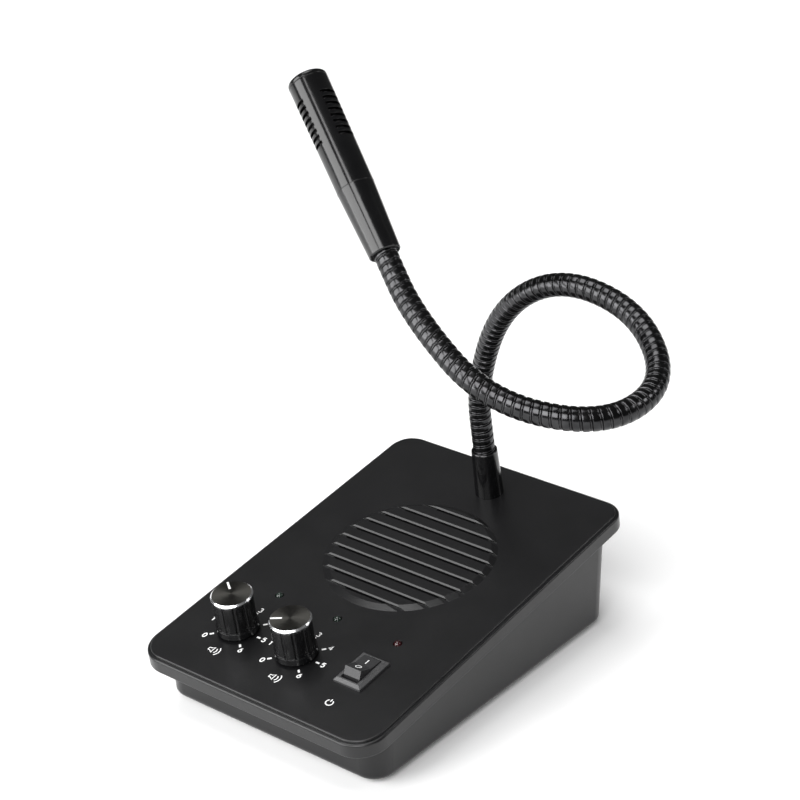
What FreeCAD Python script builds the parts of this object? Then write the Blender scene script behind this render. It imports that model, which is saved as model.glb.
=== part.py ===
"""Teller window intercom: a desk unit with a gooseneck microphone.

A low wedge-shaped case carries a tilted lid with a loudspeaker grille, two volume knobs, three
lamps, a rocker switch and a gooseneck microphone. Millimetres; +X is the user's right, +Y is the
back, +Z is up. The origin is on the table, under the middle of the lid.
"""
import FreeCAD, Part
import math
import os
import Sketcher
from FreeCAD import Placement, Rotation, Vector

doc = FreeCAD.newDocument("teller_window_intercom")

# --------------------------------------------------------------------------- driving sizes
SIZES = (
    # the lid, measured in its own tilted plane
    ("panel_tilt", 8.5, "slope of the lid, degrees"),
    ("dial_margin", 27.2, "dials behind the lid's front edge"),
    ("neck_gap", 11.5, "neck behind the loudspeaker's edge"),
    ("neck_margin", 17.0, "neck before the lid's rear edge"),
    ("side_overhang", 3.85, "lid past the tub at each side"),
    ("end_overhang", 9.8, "lid past the tub at each end"),
    ("lid_front_corner", 11.0, "corner radius at the front"),
    ("lid_rear_corner", 9.0, "corner radius at the back"),
    ("lid_plate", 2.4, "thickness of the lid's plate"),
    ("lid_skirt", 6.3, "depth of the lid's rim"),
    ("lid_skirt_wall", 2.0, "wall of the lid's rim"),
    ("lid_step_width", 1.3, "width of the small step round the panel"),
    ("lid_step_depth", 0.8, "depth of the small step round the panel"),
    ("panel_edge_round", 0.5, "rounding of the panel's own edge"),
    ("rim_edge_round", 0.8, "rounding of the rim's top edge"),
    ("rim_foot_round", 0.4, "rounding of the rim's lower edge"),
    # the tub
    ("foot_rise", 2.0, "how far the feet lift the tub"),
    ("foot_radius", 5.2, "half the width of the rubber foot ring, and its corners"),
    ("front_rise", 21.8, "tub's underside to the panel at the front"),
    ("tub_shift", 1.65, "tub's middle behind the lid's middle"),
    ("tub_corner", 8.0, "corner radius of the tub"),
    ("tub_wall", 2.2, "wall of the tub"),
    ("tub_floor", 2.2, "floor of the tub"),
    ("tub_taper", 2.0, "draft of the tub's walls, degrees"),
    ("tub_foot_round", 2.5, "rounding of the tub's lower edge"),
    ("tub_stock", 60.0, "height of the tub before it is cut to the slope"),
    ("flange_plate", 2.2, "thickness of the tub's flange under the lid"),
    ("flange_clearance", 0.3, "gap between the flange and the lid's rim"),
    ("cove_round", 1.8, "cove where the wall meets the flange"),
    # the screws that hold the lid
    ("case_screw_side", 8.8, "case screws inside the tub's sides"),
    ("case_screw_front", 10.85, "front case screws behind the tub's front"),
    ("case_screw_back", 11.15, "rear case screws before the tub's back"),
    ("pillar_radius", 3.9, "radius of a screw pillar"),
    ("pillar_top", 12.0, "pillar's top above the table, where lid and tub meet"),
    ("boss_radius", 3.4, "radius of a lid boss"),
    ("screw_head_radius", 2.7, "radius of a case screw's head"),
    ("screw_head_height", 1.9, "height of a case screw's head"),
    ("screw_head_room", 0.3, "room round a case screw's head"),
    ("screw_well", 4.0, "depth of the well for a case screw's head"),
    ("screw_shank_radius", 1.45, "radius of a case screw"),
    ("screw_thread_gap", 0.05, "gap between a screw and its pilot hole"),
    ("screw_pass_gap", 0.25, "gap between a screw and a clear hole"),
    ("screw_length", 13.0, "length of a case screw"),
    ("recess_width", 0.7, "width of a cross recess"),
    ("recess_depth", 1.0, "depth of a cross recess"),
    ("tip_relief", 0.8, "pilot hole beyond a screw's tip"),
    # grille and loudspeaker
    ("grille_base_radius", 32.0, "radius of the raised disc at the panel"),
    ("grille_top_radius", 29.7, "radius of the raised disc on top"),
    ("grille_rise", 1.1, "height of the raised disc"),
    ("slot_count", 10, "number of slots in the grille"),
    ("slot_pitch", 5.98, "distance from slot to slot"),
    ("slot_width", 1.5, "width of a slot"),
    ("slot_reach", 28.4, "distance from the grille's middle to a slot's end"),
    ("slot_bevel", 0.5, "bevel of the bar behind a slot"),
    ("grille_recess", 1.2, "recess behind the grille for the cloth"),
    ("cloth_gap", 0.2, "grille cloth to the edge of its recess"),
    ("cloth_plate", 0.3, "thickness of the grille cloth"),
    ("rib_gap", 0.6, "slot ends to the sealing rib"),
    ("rib_wall", 1.6, "wall of the sealing rib"),
    ("rib_height", 3.6, "height of the sealing rib"),
    ("cone_lip", 0.4, "thickness of the cone's glued lip"),
    ("cone_plate", 0.6, "thickness of the paper cone"),
    ("cone_depth", 9.4, "depth of the paper cone"),
    ("speaker_radius", 35.2, "radius of the loudspeaker's frame"),
    ("speaker_screw_inset", 2.2, "loudspeaker's screws from its edge"),
    ("speaker_boss_radius", 2.4, "radius of a loudspeaker boss"),
    ("frame_plate", 0.8, "thickness of the loudspeaker's frame"),
    ("basket_depth", 12.6, "depth of the loudspeaker's basket"),
    ("basket_foot_radius", 17.6, "radius of the basket's foot"),
    ("window_radius", 2.7, "radius of a basket window"),
    ("window_count", 8, "number of basket windows"),
    ("coil_radius", 7.15, "outside radius of the voice coil"),
    ("coil_wall", 0.4, "wall of the voice coil"),
    ("coil_length", 8.6, "length of the voice coil"),
    ("coil_gap", 0.3, "gap on each side of the voice coil"),
    ("top_plate_radius", 14.0, "radius of the magnet's top plate"),
    ("top_plate_height", 1.8, "thickness of the magnet's top plate"),
    ("magnet_radius", 16.0, "radius of the ring magnet"),
    ("magnet_bore", 9.0, "inner radius of the ring magnet"),
    ("magnet_height", 4.0, "thickness of the ring magnet"),
    ("yoke_radius", 15.0, "radius of the yoke"),
    ("yoke_height", 1.8, "thickness of the yoke"),
    ("dust_cap_radius", 8.6, "radius of the dust cap"),
    ("dust_cap_height", 2.2, "height of the dust cap"),
    ("small_head_radius", 2.1, "radius of a small screw's head"),
    ("small_head_height", 1.3, "height of a small screw's head"),
    ("small_shank_radius", 0.95, "radius of a small screw"),
    ("small_screw_length", 4.6, "length of a small screw"),
    # knobs and potentiometers
    ("dial_u", 27.2, "spacing of the two dials and of the lamps"),
    ("pot_radius", 8.2, "radius of a potentiometer's can"),
    ("pot_boss_gap", 1.2, "gap between a potentiometer and a lid boss"),
    ("pot_height", 8.0, "height of a potentiometer's can"),
    ("pot_lug_width", 0.9, "width of a potentiometer's lug"),
    ("pot_lug_plate", 0.4, "thickness of a potentiometer's lug"),
    ("pot_lug_pitch", 5.0, "distance from lug to lug"),
    ("pot_lug_reach", 6.6, "lugs to the can's middle"),
    ("bushing_radius", 3.5, "radius of the threaded bushing"),
    ("bushing_rise", 4.6, "bushing above the panel"),
    ("bushing_hole_gap", 0.15, "gap round the bushing in the lid"),
    ("nut_flats", 10.0, "width across a panel nut's flats"),
    ("nut_height", 2.0, "height of a panel nut"),
    ("thread_fit", 0.05, "gap between a nut and its thread"),
    ("shaft_radius", 3.0, "radius of a potentiometer's shaft"),
    ("shaft_fit", 0.04, "running gap round a shaft"),
    ("shaft_root", 6.0, "shaft below the panel"),
    ("shaft_flat", 1.5, "flat of the shaft, from its axis"),
    ("shaft_flat_start", 4.6, "where the shaft's flat starts, above the panel"),
    ("shaft_end", 12.6, "end of the shaft above the panel"),
    ("knob_gap", 0.9, "knob above the panel"),
    ("knob_skirt_radius", 7.7, "radius of the knob's skirt"),
    ("knob_skirt_height", 2.4, "height of the knob's skirt"),
    ("knob_radius", 7.25, "radius of the knob's fluted body"),
    ("knob_body_top", 14.45, "top of the fluted body above the panel"),
    ("knob_well_radius", 6.1, "radius of the well in the knob's foot"),
    ("knob_well_top", 5.0, "top of the knob's well above the panel"),
    ("knob_edge_round", 0.3, "rounding of the fluted body's top"),
    ("flute_count", 12, "number of flutes"),
    ("flute_radius", 0.75, "radius of a flute"),
    ("flute_bite", 0.35, "how far a flute cuts into the knob"),
    ("cap_neck_radius", 6.7, "radius of the groove under the knob's cap"),
    ("cap_neck_height", 0.45, "height of the groove under the knob's cap"),
    ("cap_radius", 7.6, "radius of the aluminium cap"),
    ("cap_height", 1.0, "height of the aluminium cap"),
    ("cap_bevel", 0.55, "bevel of the aluminium cap"),
    # lamps
    ("lamp_back", 22.1, "lamps behind the dials"),
    ("lamp_radius", 1.5, "radius of a lamp"),
    ("lamp_hole_gap", 0.15, "gap round a lamp"),
    ("lamp_dome_drop", 0.5, "dome's centre below the panel"),
    ("lamp_flange_radius", 1.95, "radius of a lamp's flange"),
    ("lamp_flange_height", 1.0, "height of a lamp's flange"),
    ("lamp_flange_drop", 0.6, "lamp's flange below the lid's plate"),
    ("lamp_leg", 0.5, "side of a lamp's leg"),
    ("lamp_leg_pitch", 2.54, "distance between a lamp's legs"),
    # rocker switch
    ("switch_u", 26.4, "switch off the middle"),
    ("switch_back", 3.5, "switch behind the dials"),
    ("bezel_width", 11.6, "width of the switch's bezel"),
    ("bezel_length", 16.4, "length of the switch's bezel"),
    ("bezel_rise", 1.9, "height of the switch's bezel"),
    ("bezel_slope", 1.0, "bevel of the switch's bezel"),
    ("housing_width", 9.2, "width of the switch's housing"),
    ("housing_length", 14.4, "length of the switch's housing"),
    ("housing_depth", 12.4, "depth of the switch's housing"),
    ("cutout_gap", 0.2, "gap between the housing and the lid"),
    ("bezel_mouth_length", 13.3, "length of the bezel's mouth"),
    ("cavity_length", 13.1, "length of the housing's cavity"),
    ("cavity_depth", 7.0, "depth of the housing's cavity"),
    ("rocker_side_gap", 0.25, "gap on each side of the rocker"),
    ("rocker_width", 7.0, "width of the rocker"),
    ("rocker_tilt", 15.0, "rocker's tilt at rest, degrees"),
    ("rocker_pivot_drop", 1.2, "rocker's pivot below the panel"),
    ("rocker_end", 5.1, "rocker's end from its pivot"),
    ("rocker_end_rise", 4.9, "rocker's end above its pivot"),
    ("rocker_middle_rise", 4.0, "rocker's middle above its pivot"),
    ("rocker_waist", 5.9, "rocker's waist from its pivot"),
    ("rocker_waist_rise", 1.9, "rocker's waist above its pivot"),
    ("rocker_keel", 4.6, "half the rocker's keel"),
    ("rocker_keel_drop", 3.0, "rocker's keel below its pivot"),
    ("rocker_pin_radius", 0.9, "radius of the rocker's pins"),
    ("rocker_pin_reach", 0.75, "rocker's pins beyond its sides"),
    ("rocker_pin_fit", 0.05, "running gap round the rocker's pins"),
    ("terminal_width", 4.0, "width of a switch terminal"),
    ("terminal_plate", 0.8, "thickness of a switch terminal"),
    ("terminal_length", 6.0, "length of a switch terminal"),
    ("terminal_pitch", 5.0, "distance between the terminals"),
    # boards
    ("board_plate", 1.6, "thickness of a circuit board"),
    ("control_drop", 13.0, "control board below the panel"),
    ("control_gap", 0.4, "gap round the control board"),
    ("control_front", 11.4, "control board's front edge before the dials"),
    ("control_side", 9.3, "control board's right edge beyond the power lamp"),
    ("control_back", 6.0, "control board's rear edge behind the lamps"),
    ("notch_side", 7.8, "control board's notch beside the switch"),
    ("notch_back", 6.4, "control board's notch behind the switch"),
    ("control_post_radius", 2.4, "radius of a control board post"),
    ("amp_side_gap", 3.1, "gap between the amplifier board and a screw pillar"),
    ("amp_front_gap", 4.4, "amplifier board behind the magnet"),
    ("amp_back_gap", 6.15, "amplifier board before the tub's back"),
    ("amp_post_height", 4.0, "height of an amplifier board post"),
    ("amp_post_radius", 2.6, "radius of an amplifier board post"),
    ("amp_post_inset", 4.0, "amplifier board posts from its edges"),
    ("chip_u", -16.0, "amplifier chip off the middle"),
    ("chip_width", 20.0, "width of the amplifier chip"),
    ("chip_plate", 4.2, "thickness of the amplifier chip"),
    ("chip_height", 12.0, "height of the amplifier chip"),
    ("capacitor_radius", 4.0, "radius of a capacitor"),
    ("capacitor_height", 11.0, "height of a capacitor"),
    ("capacitor_u", 1.0, "first capacitor off the middle"),
    ("capacitor_pitch", 9.0, "distance from capacitor to capacitor"),
    ("capacitor_back", 12.0, "capacitors behind the board's front edge"),
    # rear sockets
    ("inlet_u", -22.0, "power inlet off the middle"),
    ("inlet_width", 9.0, "width of the power inlet"),
    ("inlet_height", 10.6, "height of the power inlet"),
    ("inlet_axis_rise", 6.2, "power inlet's axis above the board"),
    ("inlet_nose_radius", 4.2, "radius of the power inlet's nose"),
    ("inlet_bore_radius", 2.85, "radius of the power inlet's bore"),
    ("inlet_bore_depth", 9.5, "depth of the power inlet's bore"),
    ("inlet_pin_radius", 1.0, "radius of the power inlet's pin"),
    ("socket_u", 6.0, "outside unit socket off the middle"),
    ("socket_width", 8.0, "width of the outside unit socket"),
    ("socket_height", 8.0, "height of the outside unit socket"),
    ("socket_nose_radius", 3.0, "radius of the socket's nose"),
    ("socket_bore_radius", 1.8, "radius of the socket's bore, for a 3.5 mm plug"),
    ("socket_bore_depth", 11.6, "depth of the socket's bore"),
    ("socket_body_length", 10.0, "length of a rear socket's body"),
    ("nose_gap", 0.3, "gap between a nose and the rear wall"),
    ("nose_recess", 0.3, "nose's end inside the wall's outer face"),
    # neck mount
    ("neck_u", 1.4, "neck off the middle"),
    ("boot_height", 19.3, "height of the boot"),
    ("boot_foot_radius", 5.4, "radius of the boot at the panel"),
    ("boot_top_radius", 4.85, "radius of the boot at its top"),
    ("boot_lip", 0.3, "chamfer of the boot's lip"),
    ("boot_well_top", 6.5, "top of the boot's well for the socket"),
    ("boot_grip", 0.1, "gap between the boot and what it covers"),
    ("stud_radius", 5.0, "radius of the neck's threaded stud"),
    ("stud_hole_gap", 0.2, "gap round the stud in the lid"),
    ("stud_drop", 8.0, "stud below the lid's plate"),
    ("stud_rise", 6.0, "stud above the panel"),
    ("neck_nut_flats", 14.0, "width across the neck nut's flats"),
    ("neck_nut_height", 4.0, "height of the neck nut"),
    ("root_depth", 5.0, "neck held inside the stud, below the panel"),
    ("root_fit", 0.05, "gap between the neck and the stud"),
    # gooseneck
    ("neck_radius", 4.15, "outside radius of the gooseneck"),
    ("neck_bore", 2.0, "radius of the neck's bore"),
    ("ball_relief", 0.1, "ball smaller than the neck"),
    ("cup_gap", 0.3, "cup larger than the neck"),
    ("first_rise", 28.0, "first bend above the boot"),
    ("arc_share", 0.45, "share of a run that each bend takes"),
    # the gooseneck's other bends, each from the top of the boot
    ("bend_2_right", 17.6, "second bend, to the right"),
    ("bend_2_back", -12.7, "second bend, to the back"),
    ("bend_2_up", 66.8, "second bend, up"),
    ("bend_3_right", 43.4, "third bend, to the right"),
    ("bend_3_back", -11.9, "third bend, to the back"),
    ("bend_3_up", 84.0, "third bend, up"),
    ("bend_4_right", 73.8, "fourth bend, to the right"),
    ("bend_4_back", -10.0, "fourth bend, to the back"),
    ("bend_4_up", 77.6, "fourth bend, up"),
    ("bend_5_right", 96.6, "fifth bend, to the right"),
    ("bend_5_back", -28.0, "fifth bend, to the back"),
    ("bend_5_up", 64.1, "fifth bend, up"),
    ("bend_6_right", 93.3, "sixth bend, to the right"),
    ("bend_6_back", -60.7, "sixth bend, to the back"),
    ("bend_6_up", 61.3, "sixth bend, up"),
    ("bend_7_right", 58.1, "seventh bend, to the right"),
    ("bend_7_back", -75.2, "seventh bend, to the back"),
    ("bend_7_up", 66.0, "seventh bend, up"),
    ("bend_8_right", 25.3, "eighth bend, to the right"),
    ("bend_8_back", -70.4, "eighth bend, to the back"),
    ("bend_8_up", 85.8, "eighth bend, up"),
    ("mic_foot_right", 9.0, "microphone's foot, to the right"),
    ("mic_foot_back", -64.0, "microphone's foot, to the back"),
    ("mic_foot_up", 101.5, "microphone's foot, up"),
    # microphone, measured along its axis from its foot
    ("mic_roll", 65.6, "turn of the microphone about its axis, degrees"),
    ("mic_foot_radius", 5.55, "radius of the adapter's foot"),
    ("mic_seam_radius", 6.6, "radius at the seam"),
    ("mic_tip_radius", 7.0, "radius at the tip"),
    ("mic_foot_chamfer", 0.4, "chamfer of the adapter's foot"),
    ("adapter_length", 25.5, "length of the adapter"),
    ("adapter_socket", 8.0, "depth of the adapter's socket"),
    ("adapter_fit", 0.1, "gap round the neck in the adapter"),
    ("adapter_cavity", 13.0, "start of the adapter's cavity"),
    ("spigot_length", 5.0, "length of the adapter's spigot"),
    ("spigot_fit", 0.05, "gap round the spigot and the cap's plug"),
    ("mic_wall", 1.2, "wall of the microphone's tube"),
    ("mic_tube_length", 41.8, "length of the microphone's tube"),
    ("mic_slot_rows", 3, "rows of slots round the tube"),
    ("mic_slot_count", 8, "slots in a row"),
    ("mic_slot_pitch", 2.35, "distance from slot to slot"),
    ("mic_slot_width", 1.2, "width of a slot"),
    ("mic_slot_length", 7.2, "length of a slot across the tube"),
    ("mic_slot_start", 18.0, "first slot above the seam"),
    ("mic_cap_height", 2.0, "height of the microphone's cap"),
    ("mic_cap_plug", 2.6, "length of the cap's plug"),
    ("mic_cap_round", 1.3, "rounding of the cap"),
    ("mic_cap_seam", 0.15, "chamfer at the cap's seam"),
    ("screen_wall", 0.3, "wall of the microphone's screen"),
    ("screen_gap", 0.05, "gap round the screen"),
    ("screen_start", 15.0, "screen above the seam"),
    ("screen_length", 23.0, "length of the screen"),
    ("capsule_gap", 0.05, "gap round the capsule"),
    ("capsule_start", 24.0, "capsule above the seam"),
    ("capsule_height", 6.7, "height of the capsule"),
    # leads inside the case
    ("wire_radius", 0.65, "radius of a hook-up wire"),
    ("wire_pitch", 2.2, "distance from wire to wire"),
    ("wire_rise", 1.4, "loudspeaker wires above the basket's back"),
    ("wire_run", 10.0, "first run of a wire, to the back"),
    ("wire_drop", 8.0, "first run of a loudspeaker wire, down"),
    ("wire_hop", 6.0, "wires above the board before they land"),
    ("wire_landing", 4.0, "wires behind the board's front edge"),
    ("switch_wire_u", 24.7, "switch wires off the middle"),
    ("switch_wire_pitch", 1.8, "distance between the switch wires"),
    ("lead_radius", 1.6, "radius of the microphone's lead"),
    ("lead_grip", 3.0, "lead held inside the stud"),
    ("lead_run", 7.0, "straight runs at the lead's ends"),
    ("lead_u", -6.0, "lead's end off the middle"),
    ("lead_back", 52.0, "lead's end behind the middle"),
    ("ribbon_u", -26.0, "ribbon cable off the middle"),
    ("ribbon_width", 9.0, "width of the ribbon cable"),
    ("ribbon_plate", 0.9, "thickness of the ribbon cable"),
    ("ribbon_hop", 6.0, "straight ends of the ribbon cable"),
    ("ribbon_run", 12.0, "sloping runs of the ribbon cable"),
)


# --------------------------------------------------------------------------- sizes with names
class Size:
    """A number together with the sheet expression that it comes from."""

    def __init__(self, number, text):
        self.number = float(number)
        self.text = text

    def __add__(self, other):
        other = as_size(other)
        return Size(self.number + other.number, f"({self.text} + {other.text})")

    def __sub__(self, other):
        other = as_size(other)
        return Size(self.number - other.number, f"({self.text} - {other.text})")

    def __mul__(self, other):
        other = as_size(other)
        return Size(self.number * other.number, f"({self.text} * {other.text})")

    def __truediv__(self, other):
        other = as_size(other)
        return Size(self.number / other.number, f"({self.text} / {other.text})")

    def __neg__(self):
        return Size(-self.number, f"(0 - {self.text})")

    def __radd__(self, other):
        return as_size(other) + self

    def __rsub__(self, other):
        return as_size(other) - self

    def __rmul__(self, other):
        return as_size(other) * self


def as_size(value):
    """The value as a Size; a plain number is its own expression."""
    if isinstance(value, Size):
        return value
    return Size(value, f"{value:.10g}" if value >= 0 else f"(0 - {-value:.10g})")


def sine(angle):
    return Size(math.sin(math.radians(angle.number)), f"sin({angle.text})")


def cosine(angle):
    return Size(math.cos(math.radians(angle.number)), f"cos({angle.text})")


def root(value):
    return Size(math.sqrt(value.number), f"sqrt({value.text})")


class Sheet:
    """The document's spreadsheet, read as attributes: sizes.lid_width is a Size."""

    def __init__(self, rows):
        self.table = doc.addObject("Spreadsheet::Sheet", "Sizes")
        for row, (alias, number, note) in enumerate(rows, start=1):
            self.table.set(f"A{row}", note)
            self.table.set(f"B{row}", str(number))
            self.table.setAlias(f"B{row}", alias)
            setattr(self, alias, Size(number, f"Sizes.{alias}"))


sizes = Sheet(SIZES)
doc.recompute()

# --------------------------------------------------------------------------- derived sizes
tilt = sizes.panel_tilt
# along the lid from its front edge: dials, lamps, control board, loudspeaker and neck
lid_length = (
    sizes.dial_margin + sizes.lamp_back + sizes.control_back + sizes.control_gap
    + 2 * sizes.speaker_radius + sizes.neck_gap + sizes.neck_margin
)
dial_v = sizes.dial_margin - lid_length / 2
switch_v = dial_v + sizes.switch_back
lamp_v = dial_v + sizes.lamp_back
control_front = dial_v - sizes.control_front
control_back = lamp_v + sizes.control_back
control_step = switch_v + sizes.housing_length / 2 + sizes.notch_back
speaker_v = control_back + sizes.control_gap + sizes.speaker_radius
neck_v = speaker_v + sizes.speaker_radius + sizes.neck_gap
# across the case from its middle: dials, potentiometers, screws, the tub's side and the lid's
case_screw_x = sizes.dial_u + sizes.pot_radius + sizes.pot_boss_gap + sizes.boss_radius
tub_width = 2 * (case_screw_x + sizes.case_screw_side)
lid_width = tub_width + 2 * sizes.side_overhang
control_left = case_screw_x - sizes.boss_radius - sizes.control_gap
control_right = sizes.dial_u + sizes.control_side
control_notch = sizes.switch_u - sizes.housing_width / 2 - sizes.notch_side
amp_width = 2 * (case_screw_x - sizes.pillar_radius - sizes.amp_side_gap)
# along the tub: its ends, the screws and the amplifier board between magnet and rear wall
tub_length = lid_length - 2 * sizes.end_overhang
tub_front = sizes.tub_shift - tub_length / 2
tub_back = sizes.tub_shift + tub_length / 2
case_screw_front = tub_front + sizes.case_screw_front
case_screw_back = tub_back - sizes.case_screw_back
amp_front = speaker_v + sizes.magnet_radius + sizes.amp_front_gap
amp_length = tub_back - sizes.amp_back_gap - amp_front
# heights and depths
panel_height = (
    sizes.foot_rise
    + sizes.front_rise
    + (lid_length / 2 - sizes.lid_step_width) * sine(tilt)
)
floor_top = sizes.foot_rise + sizes.tub_floor
speaker_face = sizes.lid_plate + sizes.rib_height + sizes.cone_lip
frame_back = speaker_face + sizes.basket_depth + sizes.frame_plate
rib_inner = sizes.slot_reach + sizes.rib_gap
knob_top = sizes.knob_body_top + sizes.cap_neck_height
amp_top = floor_top + sizes.amp_post_height + sizes.board_plate

nodes = {}


# --------------------------------------------------------------------------- helpers
def bind(obj, prop, value):
    """Tie a property to a size, or set it to a plain number."""
    if isinstance(value, Size):
        obj.setExpression(prop, value.text)
    else:
        setattr(obj, prop, value)


def place(obj, x, y, z, axis=Vector(1, 0, 0), angle=as_size(0)):
    """Put an object at x, y, z, turned about an axis."""
    x, y, z, angle = (as_size(value) for value in (x, y, z, angle))
    base = Vector(x.number, y.number, z.number)
    obj.Placement = Placement(base, Rotation(axis, angle.number))
    obj.setExpression("Placement.Base.x", x.text)
    obj.setExpression("Placement.Base.y", y.text)
    obj.setExpression("Placement.Base.z", z.text)
    if angle.number:
        obj.setExpression("Placement.Rotation.Angle", angle.text)
    return obj


def on_panel(obj):
    """Set an object that is drawn in the lid's plane, with +Z out of the panel, on the lid."""
    return place(obj, 0, 0, panel_height, angle=tilt)


def node(obj, label):
    """Register a finished sub-part under its name."""
    obj.Label = label
    nodes[label] = obj
    return obj


def body(label):
    made = doc.addObject("PartDesign::Body", label)
    return node(made, label)


def sketch(owner, name, role="XY_Plane", x=0, y=0, lift=0):
    """A sketch on one of the body's own planes, shifted in the plane and lifted off it."""
    made = owner.newObject("Sketcher::SketchObject", f"{owner.Name}_{name}")
    plane = next(part for part in owner.Origin.OriginFeatures if part.Role == role)
    made.AttachmentSupport = [(plane, "")]
    made.MapMode = "FlatFace"
    made.setExpression("AttachmentOffset.Base.x", as_size(x).text)
    made.setExpression("AttachmentOffset.Base.y", as_size(y).text)
    made.setExpression("AttachmentOffset.Base.z", as_size(lift).text)
    return made


def pin_point(made, geometry, point, x, y):
    """Constrain a sketch point to x, y from the sketch's origin, tied to the sheet."""
    for kind, axis, value in (("DistanceX", -2, x), ("DistanceY", -1, y)):
        value = as_size(value)
        if value.number == 0:
            made.addConstraint(Sketcher.Constraint("PointOnObject", geometry, point, axis))
            continue
        rule = Sketcher.Constraint(kind, -1, 1, geometry, point, value.number)
        index = made.addConstraint(rule)
        made.setExpression(f"Constraints[{index}]", value.text)


def polygon(made, points):
    """A closed outline through the points."""
    points = [(as_size(x), as_size(y)) for x, y in points]
    first = made.GeometryCount
    count = len(points)
    for index, (x, y) in enumerate(points):
        nx, ny = points[(index + 1) % count]
        start = Vector(x.number, y.number, 0)
        end = Vector(nx.number, ny.number, 0)
        made.addGeometry(Part.LineSegment(start, end))
    for index in range(count):
        after = first + (index + 1) % count
        made.addConstraint(Sketcher.Constraint("Coincident", first + index, 2, after, 1))
    for index, (x, y) in enumerate(points):
        pin_point(made, first + index, 1, x, y)
    return made


def rectangle(made, width, length, x=0, y=0):
    """A rectangle of a width along X and a length along Y, centred on x, y."""
    left = as_size(x) - width / 2
    right = as_size(x) + width / 2
    low = as_size(y) - length / 2
    high = as_size(y) + length / 2
    return polygon(made, ((left, low), (right, low), (right, high), (left, high)))


def circle(made, radius, x=0, y=0):
    """A circle centred on x, y."""
    x, y, radius = as_size(x), as_size(y), as_size(radius)
    centre = Vector(x.number, y.number, 0)
    drawn = Part.Circle(centre, Vector(0, 0, 1), radius.number)
    index = made.addGeometry(drawn)
    pin_point(made, index, 3, x, y)
    rule = made.addConstraint(Sketcher.Constraint("Radius", index, radius.number))
    made.setExpression(f"Constraints[{rule}]", radius.text)
    return made


def pad(owner, profile, length, down=False, both=False, taper=None):
    """Add material from a sketch: up its normal, down it, or half each way."""
    made = owner.newObject("PartDesign::Pad", f"{profile.Name}_pad")
    made.Profile = profile
    made.Reversed = down
    if both:
        made.SideType = "Symmetric"
    bind(made, "Length", length)
    if taper is not None:
        bind(made, "TaperAngle", taper)
    return made


def pocket(owner, profile, depth=None, up=False, both=False, taper=None):
    """Cut a sketch away, down its normal or up it; with no depth it cuts right through."""
    made = owner.newObject("PartDesign::Pocket", f"{profile.Name}_cut")
    made.Profile = profile
    made.Reversed = up
    if both:
        made.SideType = "Symmetric"
    if depth is None:
        made.Type = "ThroughAll"
    else:
        bind(made, "Length", depth)
    if taper is not None:
        bind(made, "TaperAngle", taper)
    return made


def revolve(owner, profile):
    """Turn a sketch on the XZ plane once round the body's Z axis."""
    made = owner.newObject("PartDesign::Revolution", f"{profile.Name}_turn")
    made.Profile = profile
    made.ReferenceAxis = (profile, ["V_Axis"])
    made.Angle = 360
    return made


def edges_where(feature, test):
    """Names of the feature's edges that pass a test."""
    doc.recompute()
    edges = feature.Shape.Edges
    return [f"Edge{index}" for index, edge in enumerate(edges, start=1) if test(edge)]


def fillet(owner, feature, radius, test, name):
    """Round the edges of a feature that pass a test."""
    made = owner.newObject("PartDesign::Fillet", f"{owner.Name}_{name}")
    made.Base = (feature, edges_where(feature, test))
    bind(made, "Radius", radius)
    return made


def chamfer(owner, feature, width, test, name):
    """Bevel the edges of a feature that pass a test."""
    made = owner.newObject("PartDesign::Chamfer", f"{owner.Name}_{name}")
    made.Base = (feature, edges_where(feature, test))
    bind(made, "Size", width)
    return made


def near(value, target):
    return abs(value - as_size(target).number) < 1e-4


def level_at(edge, z):
    """Is the whole edge at this height?"""
    return all(near(vertex.Point.z, z) for vertex in edge.Vertexes) and near(edge.BoundBox.ZLength, 0)


def ring_at(edge, radius, z):
    """Is this a whole circle round the Z axis, of this radius and at this height?"""
    round_edge = edge.Curve.TypeId == "Part::GeomCircle"
    return round_edge and near(edge.Curve.Radius, radius) and level_at(edge, z)


def rises(edge):
    """Is this a straight corner edge, going from one height to another?"""
    return edge.Curve.TypeId == "Part::GeomLine" and edge.BoundBox.ZLength > 0.5 * edge.Length


def cylinder(name, radius, height, x=0, y=0, z=0):
    made = doc.addObject("Part::Cylinder", name)
    bind(made, "Radius", radius)
    bind(made, "Height", height)
    return place(made, x, y, z)


def block(name, width, length, height, x=0, y=0, z=0):
    """A box centred on x, y, with its underside at z."""
    made = doc.addObject("Part::Box", name)
    bind(made, "Length", width)
    bind(made, "Width", length)
    bind(made, "Height", height)
    return place(made, as_size(x) - as_size(width) / 2, as_size(y) - as_size(length) / 2, z)


def fuse(name, parts):
    made = doc.addObject("Part::MultiFuse", name)
    made.Shapes = parts
    return made


def cut(name, base, tool):
    made = doc.addObject("Part::Cut", name)
    made.Base = base
    made.Tool = tool
    return made


def group(name, parts):
    """Separate solids kept together in one node."""
    made = doc.addObject("Part::Compound", name)
    made.Links = parts
    return made


def screw(name, head_radius, head_height, shank_radius, length):
    """A pan head screw with a cross recess: head on top, shank down its -Z, seat at z = 0."""
    head = cylinder(f"{name}_head", head_radius, head_height)
    shank = cylinder(f"{name}_shank", shank_radius, length, z=-length)
    blank = fuse(f"{name}_blank", [head, shank])
    span = head_radius * 1.3
    floor = head_height - sizes.recess_depth
    bars = [
        block(f"{name}_recess_x", span, sizes.recess_width, sizes.recess_depth, z=floor),
        block(f"{name}_recess_y", sizes.recess_width, span, sizes.recess_depth, z=floor),
    ]
    return cut(name, blank, fuse(f"{name}_recess", bars))


# --------------------------------------------------------------------------- case
def case_screw_places():
    """The four case screws: sideways, back, in the row's frame."""
    return [
        (side * case_screw_x, along)
        for side in (-1, 1)
        for along in (case_screw_front, case_screw_back)
    ]


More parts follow.
